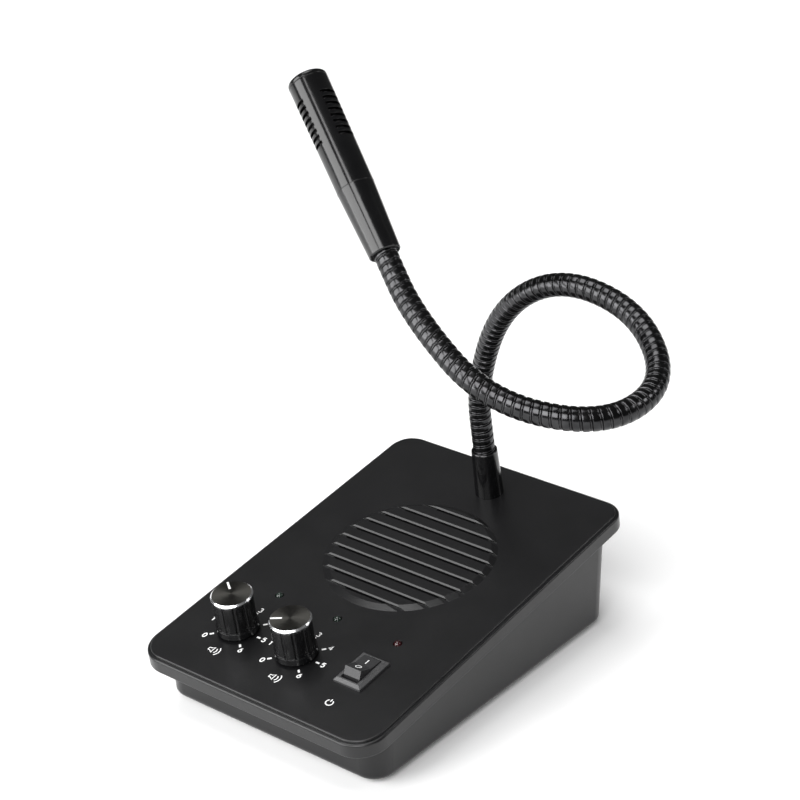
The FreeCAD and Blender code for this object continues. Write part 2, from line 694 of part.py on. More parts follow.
def speaker_screw_places():
    """The four loudspeaker screws in the lid's plane, on the diagonals."""
    reach = (sizes.speaker_radius - sizes.speaker_screw_inset) * math.sqrt(0.5)
    return [
        (side * reach, speaker_v + along * reach)
        for side in (-1, 1)
        for along in (-1, 1)
    ]


def control_post_places():
    """The control board's four posts in the lid's plane."""
    inset = sizes.control_post_radius
    left = -control_left + inset
    return [
        (left, control_front + inset),
        (left, control_back - inset),
        (control_notch - inset, control_front + inset),
        (control_right - inset, control_back - inset),
    ]


def lid_shell(lid):
    """The lid's plate and rim with their step, roundings and inside."""
    rim = sketch(lid, "rim", lift=-sizes.lid_skirt)
    rectangle(rim, lid_width, lid_length)
    rim = pad(lid, rim, sizes.lid_skirt - sizes.lid_step_depth)
    front = fillet(
        lid, rim, sizes.lid_front_corner, lambda e: rises(e) and e.BoundBox.Center.y < 0, "front"
    )
    back = fillet(
        lid, front, sizes.lid_rear_corner,
        lambda e: rises(e) and e.BoundBox.Center.y > 0
        and near(abs(e.BoundBox.Center.x), lid_width / 2), "back"
    )
    rim_round = fillet(
        lid, back, sizes.rim_edge_round, lambda e: level_at(e, -sizes.lid_step_depth), "rim_round"
    )
    fillet(
        lid, rim_round, sizes.rim_foot_round, lambda e: level_at(e, -sizes.lid_skirt), "rim_foot"
    )
    step = sizes.lid_step_width
    plateau = sketch(lid, "plateau", lift=-sizes.lid_step_depth)
    rounded_outline(
        plateau, lid_width - 2 * step, lid_length - 2 * step,
        sizes.lid_front_corner - step, sizes.lid_rear_corner - step,
    )
    plateau = pad(lid, plateau, sizes.lid_step_depth)
    fillet(lid, plateau, sizes.panel_edge_round, lambda e: level_at(e, 0), "panel_round")
    wall = sizes.lid_skirt_wall
    inside = sketch(lid, "inside", lift=-sizes.lid_skirt)
    rounded_outline(
        inside, lid_width - 2 * wall, lid_length - 2 * wall,
        sizes.lid_front_corner - wall, sizes.lid_rear_corner - wall,
    )
    pocket(lid, inside, sizes.lid_skirt - sizes.lid_plate, up=True)


def rounded_outline(made, width, length, front_radius, rear_radius):
    """A rectangle centred on the origin, with one radius in front and another at the back."""
    half_x, half_y = width / 2, length / 2
    corners = (
        (1, -1, front_radius, -90),
        (1, 1, rear_radius, 0),
        (-1, 1, rear_radius, 90),
        (-1, -1, front_radius, 180),
    )
    arcs = []
    for side, end, radius, start in corners:
        cx = side * (half_x - radius)
        cy = end * (half_y - radius)
        centre = Part.Circle(Vector(cx.number, cy.number, 0), Vector(0, 0, 1), radius.number)
        arc = Part.ArcOfCircle(centre, math.radians(start), math.radians(start + 90))
        index = made.addGeometry(arc)
        pin_point(made, index, 3, cx, cy)
        rule = made.addConstraint(Sketcher.Constraint("Radius", index, radius.number))
        made.setExpression(f"Constraints[{rule}]", radius.text)
        arcs.append(index)
    for index, arc in enumerate(arcs):
        following = arcs[(index + 1) % len(arcs)]
        start = made.getPoint(arc, 2)
        end = made.getPoint(following, 1)
        line = made.addGeometry(Part.LineSegment(start, end))
        made.addConstraint(Sketcher.Constraint("Tangent", arc, 2, line, 1))
        made.addConstraint(Sketcher.Constraint("Tangent", line, 2, following, 1))
    return made


def lid_grille(lid):
    """The raised disc, the recess behind it, its slots and the grooves that join their ends."""
    disc = lid.newObject("PartDesign::AdditiveCone", "lid_disc")
    plane = next(part for part in lid.Origin.OriginFeatures if part.Role == "XY_Plane")
    disc.AttachmentSupport = [(plane, "")]
    disc.MapMode = "FlatFace"
    bind(disc, "Radius1", sizes.grille_base_radius)
    bind(disc, "Radius2", sizes.grille_top_radius)
    bind(disc, "Height", sizes.grille_rise)
    disc.setExpression("AttachmentOffset.Base.y", speaker_v.text)
    recess = sketch(lid, "recess", y=speaker_v, lift=-sizes.lid_plate)
    circle(recess, sizes.slot_reach + sizes.rib_gap)
    pocket(lid, recess, sizes.grille_recess, up=True)
    slots = sketch(lid, "slots", y=speaker_v, lift=sizes.grille_rise)
    count = int(sizes.slot_count.number)
    for index in range(count):
        offset = (index - (count - 1) / 2) * sizes.slot_pitch
        half = root(sizes.slot_reach * sizes.slot_reach - offset * offset)
        rectangle(slots, half * 2, sizes.slot_width, y=offset)
    pocket(lid, slots, sizes.grille_rise + sizes.lid_plate)
    grooves = sketch(lid, "grooves", role="YZ_Plane")
    top = sizes.grille_rise
    above = sizes.grille_rise * 2
    for index in range(count):
        middle = speaker_v + (index - (count - 1) / 2) * sizes.slot_pitch
        front = middle - sizes.slot_width / 2
        rear = middle + sizes.slot_width / 2
        polygon(grooves, (
            (front, 0),
            (rear, 0),
            (rear, top - sizes.slot_bevel),
            (rear + sizes.slot_bevel, top),
            (rear + sizes.slot_bevel, above),
            (front, above),
        ))
    pocket(lid, grooves, sizes.grille_base_radius * 2, both=True)


def lid_openings(lid):
    """Holes for the lamps, the two bushings, the switch and the neck's stud."""
    holes = sketch(lid, "holes", lift=0)
    for side in (-1, 0, 1):
        circle(holes, sizes.lamp_radius + sizes.lamp_hole_gap, side * sizes.dial_u, lamp_v)
    for side in (-1, 0):
        bushing = sizes.bushing_radius + sizes.bushing_hole_gap
        circle(holes, bushing, side * sizes.dial_u, dial_v)
    gap = sizes.cutout_gap
    rectangle(
        holes, sizes.housing_width + 2 * gap, sizes.housing_length + 2 * gap,
        sizes.switch_u, switch_v,
    )
    circle(holes, sizes.stud_radius + sizes.stud_hole_gap, sizes.neck_u, neck_v)
    pocket(lid, holes)


def lid_fixings(lid):
    """The sealing rib and the bosses under the lid's plate."""
    under = -sizes.lid_plate
    rib = sketch(lid, "rib", y=speaker_v, lift=under)
    circle(rib, rib_inner)
    circle(rib, rib_inner + sizes.rib_wall)
    pad(lid, rib, sizes.rib_height, down=True)
    bosses = sketch(lid, "speaker_bosses", lift=under)
    for x, y in speaker_screw_places():
        circle(bosses, sizes.speaker_boss_radius, x, y)
    pad(lid, bosses, speaker_face - sizes.lid_plate, down=True)
    posts = sketch(lid, "board_posts", lift=under)
    for x, y in control_post_places():
        circle(posts, sizes.control_post_radius, x, y)
    pad(lid, posts, sizes.control_drop - sizes.lid_plate, down=True)
    pilot = sizes.small_shank_radius + sizes.screw_thread_gap
    for name, places, start in (
        ("speaker_pilots", speaker_screw_places(), speaker_face),
        ("board_pilots", control_post_places(), sizes.control_drop),
    ):
        drilled = sketch(lid, name, lift=-start)
        for x, y in places:
            circle(drilled, pilot, x, y)
        pocket(lid, drilled, sizes.small_screw_length, up=True)


def lid_pillars(lid):
    """Upright bosses that meet the tub's pillars, drilled for the case screws."""
    plane = next(part for part in lid.Origin.OriginFeatures if part.Role == "XY_Plane")
    tip = sizes.screw_length + sizes.tip_relief
    grip = sizes.foot_rise + sizes.screw_well - sizes.pillar_top
    for index, (x, y) in enumerate(case_screw_places(), start=1):
        drop = panel_height - sizes.pillar_top
        local_y = y * cosine(tilt) - drop * sine(tilt)
        local_z = -(y * sine(tilt)) - drop * cosine(tilt)
        mid_plate = sizes.lid_plate / (2 * cosine(tilt))
        height = drop + y * sine(tilt) / cosine(tilt) - mid_plate
        hole = tip + grip
        for kind, radius, length in (
            ("Additive", sizes.boss_radius, height),
            ("Subtractive", sizes.screw_shank_radius + sizes.screw_thread_gap, hole),
        ):
            made = lid.newObject(f"PartDesign::{kind}Cylinder", f"lid_{kind}_{index}")
            made.AttachmentSupport = [(plane, "")]
            made.MapMode = "FlatFace"
            bind(made, "Radius", radius)
            bind(made, "Height", length)
            made.AttachmentOffset = Placement(
                Vector(x.number, local_y.number, local_z.number),
                Rotation(Vector(-1, 0, 0), tilt.number),
            )
            made.setExpression("AttachmentOffset.Base.x", x.text)
            made.setExpression("AttachmentOffset.Base.y", local_y.text)
            made.setExpression("AttachmentOffset.Base.z", local_z.text)
            made.setExpression("AttachmentOffset.Rotation.Angle", tilt.text)


def top_cover():
    """The lid, drawn in its own plane: z = 0 is the panel, y runs up the slope."""
    lid = on_panel(body("top_cover"))
    lid_shell(lid)
    lid_fixings(lid)
    lid_pillars(lid)
    lid_grille(lid)
    lid_openings(lid)


def slope_line(depth, y):
    """Height, in the tub's frame, of a plane that lies this deep under the panel, at y."""
    rise = (y + sizes.tub_shift) * sine(tilt) / cosine(tilt)
    return panel_height - sizes.foot_rise - depth / cosine(tilt) + rise


def tub_shell(tub):
    """The tub's tapered walls, cut to the slope, with its flange and its inside."""
    base = sketch(tub, "base")
    rounded_outline(base, tub_width, tub_length, sizes.tub_corner, sizes.tub_corner)
    walls = pad(tub, base, sizes.tub_stock, taper=sizes.tub_taper)
    fillet(tub, walls, sizes.tub_foot_round, lambda e: level_at(e, 0), "foot_round")
    flange_under = sizes.lid_plate + sizes.flange_plate
    far = lid_length
    above = sketch(tub, "slope", role="YZ_Plane")
    polygon(above, (
        (-far, slope_line(flange_under, -far)),
        (far, slope_line(flange_under, far)),
        (far, sizes.tub_stock * 2),
        (-far, sizes.tub_stock * 2),
    ))
    pocket(tub, above, lid_width * 2, both=True)
    rim_gap = sizes.lid_skirt_wall + sizes.flange_clearance
    reach = (lid_length / 2 - rim_gap) * cosine(tilt)
    lean = flange_under * sine(tilt)
    lean_top = sizes.lid_plate * sine(tilt)
    front, back = -reach - sizes.tub_shift, reach - sizes.tub_shift
    flange = sketch(tub, "flange", role="YZ_Plane")
    polygon(flange, (
        (front + lean, slope_line(flange_under, front + lean)),
        (back + lean, slope_line(flange_under, back + lean)),
        (back + lean_top, slope_line(sizes.lid_plate, back + lean_top)),
        (front + lean_top, slope_line(sizes.lid_plate, front + lean_top)),
    ))
    flange = pad(tub, flange, lid_width - 2 * rim_gap, both=True)
    corner_at = lid_width.number / 2 - rim_gap.number
    short = sizes.flange_plate.number * 1.5

    def flange_corner(edge, rear):
        middle = edge.BoundBox.Center
        outer = abs(abs(middle.x) - corner_at) < 1e-3 and edge.Length < short
        return outer and (middle.y > 0) == rear

    front_round = fillet(
        tub, flange, sizes.lid_front_corner - rim_gap, lambda e: flange_corner(e, False), "flange_front"
    )
    return fillet(
        tub, front_round, sizes.lid_rear_corner - rim_gap, lambda e: flange_corner(e, True), "flange_back"
    )


def tub_cove(tub, feature):
    """The cove where the walls run into the flange."""
    depth = sizes.lid_plate + sizes.flange_plate
    inner = lid_width.number / 2 - sizes.lid_skirt_wall.number - 1.0

    def on_underside(point):
        height = slope_line(depth, as_size(point.y)).number
        return abs(point.z - height) < 1e-3

    def at_wall(edge):
        inside = edge.BoundBox.XMax < inner and edge.BoundBox.XMin > -inner
        reach = tub_length.number / 2 + 3.0
        short = abs(edge.BoundBox.YMax) < reach and abs(edge.BoundBox.YMin) < reach
        return inside and short and all(on_underside(v.Point) for v in edge.Vertexes)

    return fillet(tub, feature, sizes.cove_round, at_wall, "cove")


def amp_post_places():
    """The amplifier board's four posts: sideways, back, in the row's frame."""
    inset = sizes.amp_post_inset
    return [
        (side * (amp_width / 2 - inset), along)
        for side in (-1, 1)
        for along in (amp_front + inset, amp_front + amp_length - inset)
    ]


def lower_case():
    """The tub, drawn from its underside; its middle lies tub_shift behind the lid's middle."""
    tub = place(body("lower_case"), 0, sizes.tub_shift, sizes.foot_rise)
    shell = tub_shell(tub)
    tub_cove(tub, shell)
    hollow = sketch(tub, "hollow", lift=sizes.tub_floor)
    shrink = sizes.tub_wall - sizes.tub_floor * sine(sizes.tub_taper) / cosine(sizes.tub_taper)
    rounded_outline(
        hollow, tub_width - 2 * shrink, tub_length - 2 * shrink,
        sizes.tub_corner - shrink, sizes.tub_corner - shrink,
    )
    pocket(tub, hollow, sizes.tub_stock, up=True, taper=sizes.tub_taper)
    pillars = sketch(tub, "pillars", lift=sizes.tub_floor)
    for x, y in case_screw_places():
        circle(pillars, sizes.pillar_radius, x, y - sizes.tub_shift)
    pad(tub, pillars, sizes.pillar_top - floor_top)
    posts = sketch(tub, "posts", lift=sizes.tub_floor)
    for x, y in amp_post_places():
        circle(posts, sizes.amp_post_radius, x, y - sizes.tub_shift)
    pad(tub, posts, sizes.amp_post_height)
    wells = sketch(tub, "wells")
    clear = sketch(tub, "clear_holes")
    for x, y in case_screw_places():
        circle(wells, sizes.screw_head_radius + sizes.screw_head_room, x, y - sizes.tub_shift)
        circle(clear, sizes.screw_shank_radius + sizes.screw_pass_gap, x, y - sizes.tub_shift)
    pocket(tub, wells, sizes.screw_well, up=True)
    pocket(tub, clear, sizes.pillar_top, up=True)
    pilots = sketch(tub, "pilots", lift=sizes.tub_floor + sizes.amp_post_height)
    for x, y in amp_post_places():
        circle(pilots, sizes.small_shank_radius + sizes.screw_thread_gap, x, y - sizes.tub_shift)
    pocket(tub, pilots, sizes.small_screw_length - sizes.board_plate)
    rear = sketch(tub, "sockets", role="XZ_Plane")
    for x, radius, rise in (
        (sizes.inlet_u, sizes.inlet_nose_radius, sizes.inlet_axis_rise),
        (sizes.socket_u, sizes.socket_nose_radius, sizes.socket_height / 2),
    ):
        circle(rear, radius + sizes.nose_gap, x, amp_top + rise - sizes.foot_rise)
    pocket(tub, rear, tub_length)


def rubber_feet():
    """The feet: one flat rubber ring under the tub, with a hole for each case screw."""
    ring = body("rubber_feet")
    middle = (case_screw_front + case_screw_back) / 2
    width = case_screw_x * 2 + sizes.foot_radius * 2
    length = case_screw_back - case_screw_front + sizes.foot_radius * 2
    outline = sketch(ring, "outline", y=middle)
    rounded_outline(outline, width, length, sizes.foot_radius, sizes.foot_radius)
    rectangle(outline, width - sizes.foot_radius * 4, length - sizes.foot_radius * 4)
    room = sizes.screw_head_radius + sizes.screw_head_room
    for x, y in case_screw_places():
        circle(outline, room, x, y - middle)
    pad(ring, outline, sizes.foot_rise)


def case_screws():
    """The four screws that hold the lid from below."""
    screws = []
    seat = sizes.foot_rise + sizes.screw_well
    for index, (x, y) in enumerate(case_screw_places(), start=1):
        made = screw(
            f"case_screw_{index}", sizes.screw_head_radius, sizes.screw_head_height,
            sizes.screw_shank_radius, sizes.screw_length,
        )
        screws.append(place(made, x, y, seat, angle=as_size(180)))
    node(group("case_screws", screws), "case_screws")


# --------------------------------------------------------------------------- loudspeaker
def turned(label, points):
    """A turned sub-part of the loudspeaker: radius and height points, z = 0 at the panel."""
    made = on_panel(body(label))
    profile = sketch(made, "profile", role="XZ_Plane")
    polygon(profile, points)
    revolve(made, profile)
    return made


def speaker_axis(made):
    """Shift a turned sub-part from the lid's middle to the loudspeaker's axis."""
    y = speaker_v * cosine(tilt)
    z = panel_height + speaker_v * sine(tilt)
    return place(made, 0, y, z, angle=tilt)


def speaker():
    """Grille cloth, frame, cone, dust cap, voice coil, top plate, magnet, yoke and screws."""
    recess = sizes.lid_plate - sizes.grille_recess
    cloth = cylinder("cloth", rib_inner - sizes.cloth_gap, sizes.cloth_plate)
    place(cloth, 0, speaker_v, -(recess + sizes.cloth_plate))
    node(on_panel(group("grille_cloth", [cloth])), "grille_cloth")

    face = -speaker_face
    thick = sizes.frame_plate
    back = -frame_back
    foot = sizes.basket_foot_radius
    seat = rib_inner - sizes.rib_wall
    frame = turned("speaker_frame", (
        (seat, face),
        (sizes.speaker_radius, face),
        (sizes.speaker_radius, face - thick),
        (seat + thick, face - thick),
        (foot + thick / 2, back),
        (sizes.magnet_bore, back),
        (sizes.magnet_bore, back + thick),
        (foot, back + thick),
    ))
    windows = sketch(frame, "windows", lift=face)
    middle = (seat + foot) / 2
    count = int(sizes.window_count.number)
    for index in range(count):
        angle = math.radians(360.0 * index / count)
        circle(windows, sizes.window_radius, middle * math.cos(angle), middle * math.sin(angle))
    pocket(frame, windows, sizes.basket_depth)
    holes = sketch(frame, "holes", lift=face)
    reach = (sizes.speaker_radius - sizes.speaker_screw_inset) * math.sqrt(0.5)
    for side in (-1, 1):
        for along in (-1, 1):
            clear = sizes.small_shank_radius + sizes.screw_pass_gap
            circle(holes, clear, side * reach, along * reach)
    pocket(frame, holes, thick * 2)

    lip = sizes.cone_lip
    paper = sizes.cone_plate
    throat = sizes.coil_radius
    roll = seat - paper
    deep = face + lip - sizes.cone_depth
    turned("speaker_cone", (
        (rib_inner + sizes.rib_wall, face),
        (rib_inner + sizes.rib_wall, face + lip),
        (roll, face + lip),
        (throat, deep),
        (throat, deep - paper),
        (roll, face + lip - paper),
        (seat, face),
    ))
    coil_inner = sizes.coil_radius - sizes.coil_wall
    turned("speaker_voice_coil", (
        (coil_inner, deep),
        (throat, deep),
        (throat, deep - sizes.coil_length),
        (coil_inner, deep - sizes.coil_length),
    ))
    plate_back = back - sizes.top_plate_height
    magnet_back = plate_back - sizes.magnet_height
    yoke_back = magnet_back - sizes.yoke_height
    turned("speaker_top_plate", (
        (throat + sizes.coil_gap, back),
        (sizes.top_plate_radius, back),
        (sizes.top_plate_radius, plate_back),
        (throat + sizes.coil_gap, plate_back),
    ))
    turned("speaker_magnet", (
        (sizes.magnet_bore, plate_back),
        (sizes.magnet_radius, plate_back),
        (sizes.magnet_radius, magnet_back),
        (sizes.magnet_bore, magnet_back),
    ))
    pole = coil_inner - sizes.coil_gap
    turned("speaker_yoke", (
        (0, yoke_back),
        (sizes.yoke_radius, yoke_back),
        (sizes.yoke_radius, magnet_back),
        (pole, magnet_back),
        (pole, back),
        (0, back),
    ))
    slope = sizes.cone_depth / (roll - throat)
    cap_foot = face + lip - (roll - sizes.dust_cap_radius) * slope
    turned("speaker_dust_cap", (
        (0, cap_foot),
        (sizes.dust_cap_radius, cap_foot),
        (sizes.dust_cap_radius * 0.75, cap_foot + sizes.dust_cap_height * 0.6),
        (sizes.dust_cap_radius * 0.4, cap_foot + sizes.dust_cap_height * 0.93),
        (0, cap_foot + sizes.dust_cap_height),
    ))
    for label in (
        "speaker_frame", "speaker_cone", "speaker_voice_coil", "speaker_top_plate",
        "speaker_magnet", "speaker_yoke", "speaker_dust_cap",
    ):
        speaker_axis(nodes[label])
    screws = []
    for index, (x, y) in enumerate(speaker_screw_places(), start=1):
        made = screw(
            f"speaker_screw_{index}", sizes.small_head_radius, sizes.small_head_height,
            sizes.small_shank_radius, sizes.small_screw_length,
        )
        screws.append(place(made, x, y, face - thick, angle=as_size(180)))
    node(on_panel(group("speaker_screws", screws)), "speaker_screws")


# --------------------------------------------------------------------------- volume controls
def volume_pot(name, u):
    """A potentiometer's can, bushing and lugs, hung under the lid by its nut."""
    v = dial_v
    under = -sizes.lid_plate
    foot = under - sizes.pot_height
    can = cylinder(f"{name}_can", sizes.pot_radius, sizes.pot_height, u, v, foot)
    bushing = cylinder(
        f"{name}_bushing", sizes.bushing_radius, sizes.bushing_rise + sizes.lid_plate, u, v, under
    )
    lugs = []
    for index in (-1, 0, 1):
        lugs.append(block(
            f"{name}_lug_{index + 2}", sizes.pot_lug_width, sizes.pot_lug_plate,
            sizes.control_drop + foot, u + index * sizes.pot_lug_pitch,
            v + sizes.pot_lug_reach, -sizes.control_drop,
        ))
    blank = fuse(f"{name}_blank", [can, bushing] + lugs)
    bore = cylinder(
        f"{name}_bore", sizes.shaft_radius + sizes.shaft_fit,
        sizes.shaft_root + sizes.shaft_fit + sizes.bushing_rise + sizes.cap_height,
        u, v, -sizes.shaft_root - sizes.shaft_fit,
    )
    node(on_panel(cut(f"{name}_pot", blank, bore)), f"{name}_pot")


def volume_shaft(name, u):
    """The potentiometer's shaft, with its flat towards the back."""
    v = dial_v
    rod = cylinder(
        f"{name}_rod", sizes.shaft_radius, sizes.shaft_root + sizes.shaft_end, u, v, -sizes.shaft_root
    )
    flat = block(
        f"{name}_flat", sizes.shaft_radius * 2, sizes.shaft_radius,
        sizes.shaft_end - sizes.shaft_flat_start, u,
        v + sizes.shaft_flat + sizes.shaft_radius / 2, sizes.shaft_flat_start,
    )
    node(on_panel(cut(f"{name}_shaft", rod, flat)), f"{name}_shaft")


def hexagon(made, flats):
    """A hexagon centred on the origin, by its width across flats."""
    corner = flats / math.sqrt(3)
    points = []
    for index in range(6):
        angle = math.radians(60 * index)
        points.append((corner * round(math.cos(angle), 12), corner * round(math.sin(angle), 12)))
    return polygon(made, points)


def panel_nut(label, flats, height, thread_radius, u, v, n):
    """A hexagon nut on a thread that stands out of the lid."""
    made = body(label)
    outline = sketch(made, "outline", x=u, y=v, lift=n)
    hexagon(outline, flats)
    pad(made, outline, height)
    thread = sketch(made, "thread", x=u, y=v, lift=n + height)
    circle(thread, thread_radius + sizes.thread_fit)
    pocket(made, thread)
    on_panel(made)


def volume_knob(name, u):
    """The knob's fluted body with the groove under its cap, and the aluminium cap."""
    knob = body(f"{name}_knob")
    gap = sizes.knob_gap
    skirt_top = gap + sizes.knob_skirt_height
    profile = sketch(knob, "profile", role="XZ_Plane")
    polygon(profile, (
        (0, sizes.knob_well_top),
        (sizes.knob_well_radius, sizes.knob_well_top),
        (sizes.knob_well_radius, gap),
        (sizes.knob_skirt_radius, gap),
        (sizes.knob_skirt_radius, skirt_top),
        (sizes.knob_radius, skirt_top),
        (sizes.knob_radius, sizes.knob_body_top),
        (sizes.cap_neck_radius, sizes.knob_body_top),
        (sizes.cap_neck_radius, knob_top),
        (0, knob_top),
    ))
    turned_body = revolve(knob, profile)
    fillet(
        knob, turned_body, sizes.knob_edge_round,
        lambda e: ring_at(e, sizes.knob_radius, sizes.knob_body_top), "edge"
    )
    grooves = sketch(knob, "flutes", lift=sizes.knob_body_top)
    count = int(sizes.flute_count.number)
    reach = sizes.knob_radius + sizes.flute_radius - sizes.flute_bite
    for index in range(count):
        angle = math.radians(360.0 * (index + 0.5) / count)
        x = reach * round(math.cos(angle), 12)
        y = reach * round(math.sin(angle), 12)
        circle(grooves, sizes.flute_radius, x, y)
    pocket(knob, grooves, sizes.knob_body_top - skirt_top)
    socket = sketch(knob, "shaft_hole", lift=sizes.knob_well_top)
    fit = sizes.shaft_fit
    flat = sizes.shaft_flat + fit
    outer = sizes.shaft_radius + fit
    half = root(outer * outer - flat * flat)
    d_shape(socket, outer, flat, half)
    pocket(knob, socket, sizes.shaft_end + fit - sizes.knob_well_top, up=True)
    dial_axis(knob, u)

    cap = body(f"{name}_cap")
    bevel = sizes.cap_bevel
    top = knob_top + sizes.cap_height
    profile = sketch(cap, "profile", role="XZ_Plane")
    polygon(profile, (
        (0, knob_top),
        (sizes.cap_radius, knob_top),
        (sizes.cap_radius, top - bevel),
        (sizes.cap_radius - bevel, top),
        (0, top),
    ))
    revolve(cap, profile)
    dial_axis(cap, u)


def d_shape(made, radius, flat, half):
    """A circle with a flat towards +Y, for a shaft with a flat."""
    start = math.atan2(flat.number, -half.number)
    end = math.atan2(flat.number, half.number) + 2 * math.pi
    centre = Part.Circle(Vector(0, 0, 0), Vector(0, 0, 1), radius.number)
    arc = made.addGeometry(Part.ArcOfCircle(centre, start, end))
    pin_point(made, arc, 3, 0, 0)
    rule = made.addConstraint(Sketcher.Constraint("Radius", arc, radius.number))
    made.setExpression(f"Constraints[{rule}]", radius.text)
    line = made.addGeometry(Part.LineSegment(made.getPoint(arc, 2), made.getPoint(arc, 1)))
    made.addConstraint(Sketcher.Constraint("Coincident", arc, 2, line, 1))
    made.addConstraint(Sketcher.Constraint("Coincident", line, 2, arc, 1))
    made.addConstraint(Sketcher.Constraint("Horizontal", line))
    pin = made.addConstraint(Sketcher.Constraint("DistanceY", -1, 1, line, 1, flat.number))
    made.setExpression(f"Constraints[{pin}]", flat.text)


def dial_axis(made, u):
    """Set a turned sub-part, drawn round its own axis, on a dial of the lid."""
    y = dial_v * cosine(tilt)
    z = panel_height + dial_v * sine(tilt)
    return place(made, u, y, z, angle=tilt)


def volume_controls():
    for name, u in (("inner_volume", -sizes.dial_u), ("outer_volume", 0 * sizes.dial_u)):
        volume_pot(name, u)
        volume_shaft(name, u)
        panel_nut(
            f"{name}_nut", sizes.nut_flats, sizes.nut_height, sizes.bushing_radius,
            u, dial_v, 0,
        )
        volume_knob(name, u)


# --------------------------------------------------------------------------- lamps and switch
def lamp(label, u):
    """A 3 mm lamp: dome, flange and two legs down to the control board."""
    v = lamp_v
    flange_top = -sizes.lid_plate - sizes.lamp_flange_drop
    flange_foot = flange_top - sizes.lamp_flange_height
    flange = cylinder(
        f"{label}_flange", sizes.lamp_flange_radius, sizes.lamp_flange_height, u, v, flange_foot
    )
    stem = cylinder(
        f"{label}_stem", sizes.lamp_radius, -sizes.lamp_dome_drop - flange_foot, u, v, flange_foot
    )
    dome = doc.addObject("Part::Sphere", f"{label}_dome")
    bind(dome, "Radius", sizes.lamp_radius)
    place(dome, u, v, -sizes.lamp_dome_drop)
    legs = [
        block(
            f"{label}_leg_{side + 2}", sizes.lamp_leg, sizes.lamp_leg,
            sizes.control_drop + flange_foot, u + side * sizes.lamp_leg_pitch / 2, v,
            -sizes.control_drop,
        )
        for side in (-1, 1)
    ]
    node(on_panel(fuse(label, [flange, stem, dome] + legs)), label)


def rocker_bezel():
    """The switch's snap-in housing, with a bevelled bezel and bearings for the rocker."""
    made = body("rocker_bezel")
    u, v = sizes.switch_u, switch_v
    rim = sketch(made, "rim", x=u, y=v)
    rectangle(rim, sizes.bezel_width, sizes.bezel_length)
    rim = pad(made, rim, sizes.bezel_rise)
    chamfer(made, rim, sizes.bezel_slope, lambda e: level_at(e, sizes.bezel_rise), "bevel")
    housing = sketch(made, "housing", x=u, y=v)
    rectangle(housing, sizes.housing_width, sizes.housing_length)
    pad(made, housing, sizes.housing_depth, down=True)
    width = sizes.rocker_width + 2 * sizes.rocker_side_gap
    mouth = sketch(made, "mouth", x=u, y=v, lift=sizes.bezel_rise)
    rectangle(mouth, width, sizes.bezel_mouth_length)
    pocket(made, mouth, sizes.bezel_rise)
    cavity = sketch(made, "cavity", x=u, y=v)
    rectangle(cavity, width, sizes.cavity_length)
    pocket(made, cavity, sizes.cavity_depth)
    bearing = sketch(made, "bearing", role="YZ_Plane", x=v, y=-sizes.rocker_pivot_drop, lift=u)
    circle(bearing, sizes.rocker_pin_radius + sizes.rocker_pin_fit)
    pocket(made, bearing, sizes.housing_width * 2, both=True)
    on_panel(made)


def rocker_button():
    """The rocker, drawn round its pivot, tipped so that its rear end is pressed."""
    made = body("rocker_button")
    end, rise = sizes.rocker_end, sizes.rocker_end_rise
    waist, waist_rise = sizes.rocker_waist, sizes.rocker_waist_rise
    keel, keel_drop = sizes.rocker_keel, sizes.rocker_keel_drop
    side = sketch(made, "side", role="YZ_Plane")
    polygon(side, (
        (-keel, -keel_drop),
        (keel, -keel_drop),
        (waist, waist_rise),
        (end, rise),
        (0, sizes.rocker_middle_rise),
        (-end, rise),
        (-waist, waist_rise),
    ))
    pad(made, side, sizes.rocker_width, both=True)
    pins = sketch(made, "pins", role="YZ_Plane")
    circle(pins, sizes.rocker_pin_radius)
    pad(made, pins, sizes.rocker_width + 2 * sizes.rocker_pin_reach, both=True)
    drop = sizes.rocker_pivot_drop
    y = switch_v * cosine(tilt) + drop * sine(tilt)
    z = panel_height + switch_v * sine(tilt) - drop * cosine(tilt)
    place(made, sizes.switch_u, y, z, angle=tilt - sizes.rocker_tilt)


def switch_terminals():
    """Two flat terminals under the switch."""
    blades = [
        block(
            f"terminal_{index}", sizes.terminal_width, sizes.terminal_plate, sizes.terminal_length,
            sizes.switch_u, switch_v + side * sizes.terminal_pitch / 2,
            -sizes.housing_depth - sizes.terminal_length,
        )
        for index, side in enumerate((-1, 1), start=1)
    ]
    node(on_panel(group("switch_terminals", blades)), "switch_terminals")


# --------------------------------------------------------------------------- boards
def small_screws(label, places, seat, turn, holder):
    """A set of small screws with their heads on a board."""
    screws = []
    for index, (x, y) in enumerate(places, start=1):
        made = screw(
            f"{label}_{index}", sizes.small_head_radius, sizes.small_head_height,
            sizes.small_shank_radius, sizes.small_screw_length,
        )
        screws.append(place(made, x, y, seat, angle=as_size(turn)))
    node(holder(group(label, screws)), label)


def control_board():
    """The board that carries the lamps and the potentiometers, screwed to the lid's posts."""
    made = body("control_board")
    outline = sketch(made, "outline", lift=-sizes.control_drop)
    polygon(outline, (
        (-control_left, control_front),
        (control_notch, control_front),
        (control_notch, control_step),
        (control_right, control_step),
        (control_right, control_back),
        (-control_left, control_back),
    ))
    pad(made, outline, sizes.board_plate, down=True)
    holes = sketch(made, "holes", lift=-sizes.control_drop)
    for x, y in control_post_places():
        circle(holes, sizes.small_shank_radius + sizes.screw_pass_gap, x, y)
    pocket(made, holes, sizes.board_plate * 2)
    on_panel(made)
    seat = -sizes.control_drop - sizes.board_plate
    small_screws("control_board_screws", control_post_places(), seat, 180, on_panel)


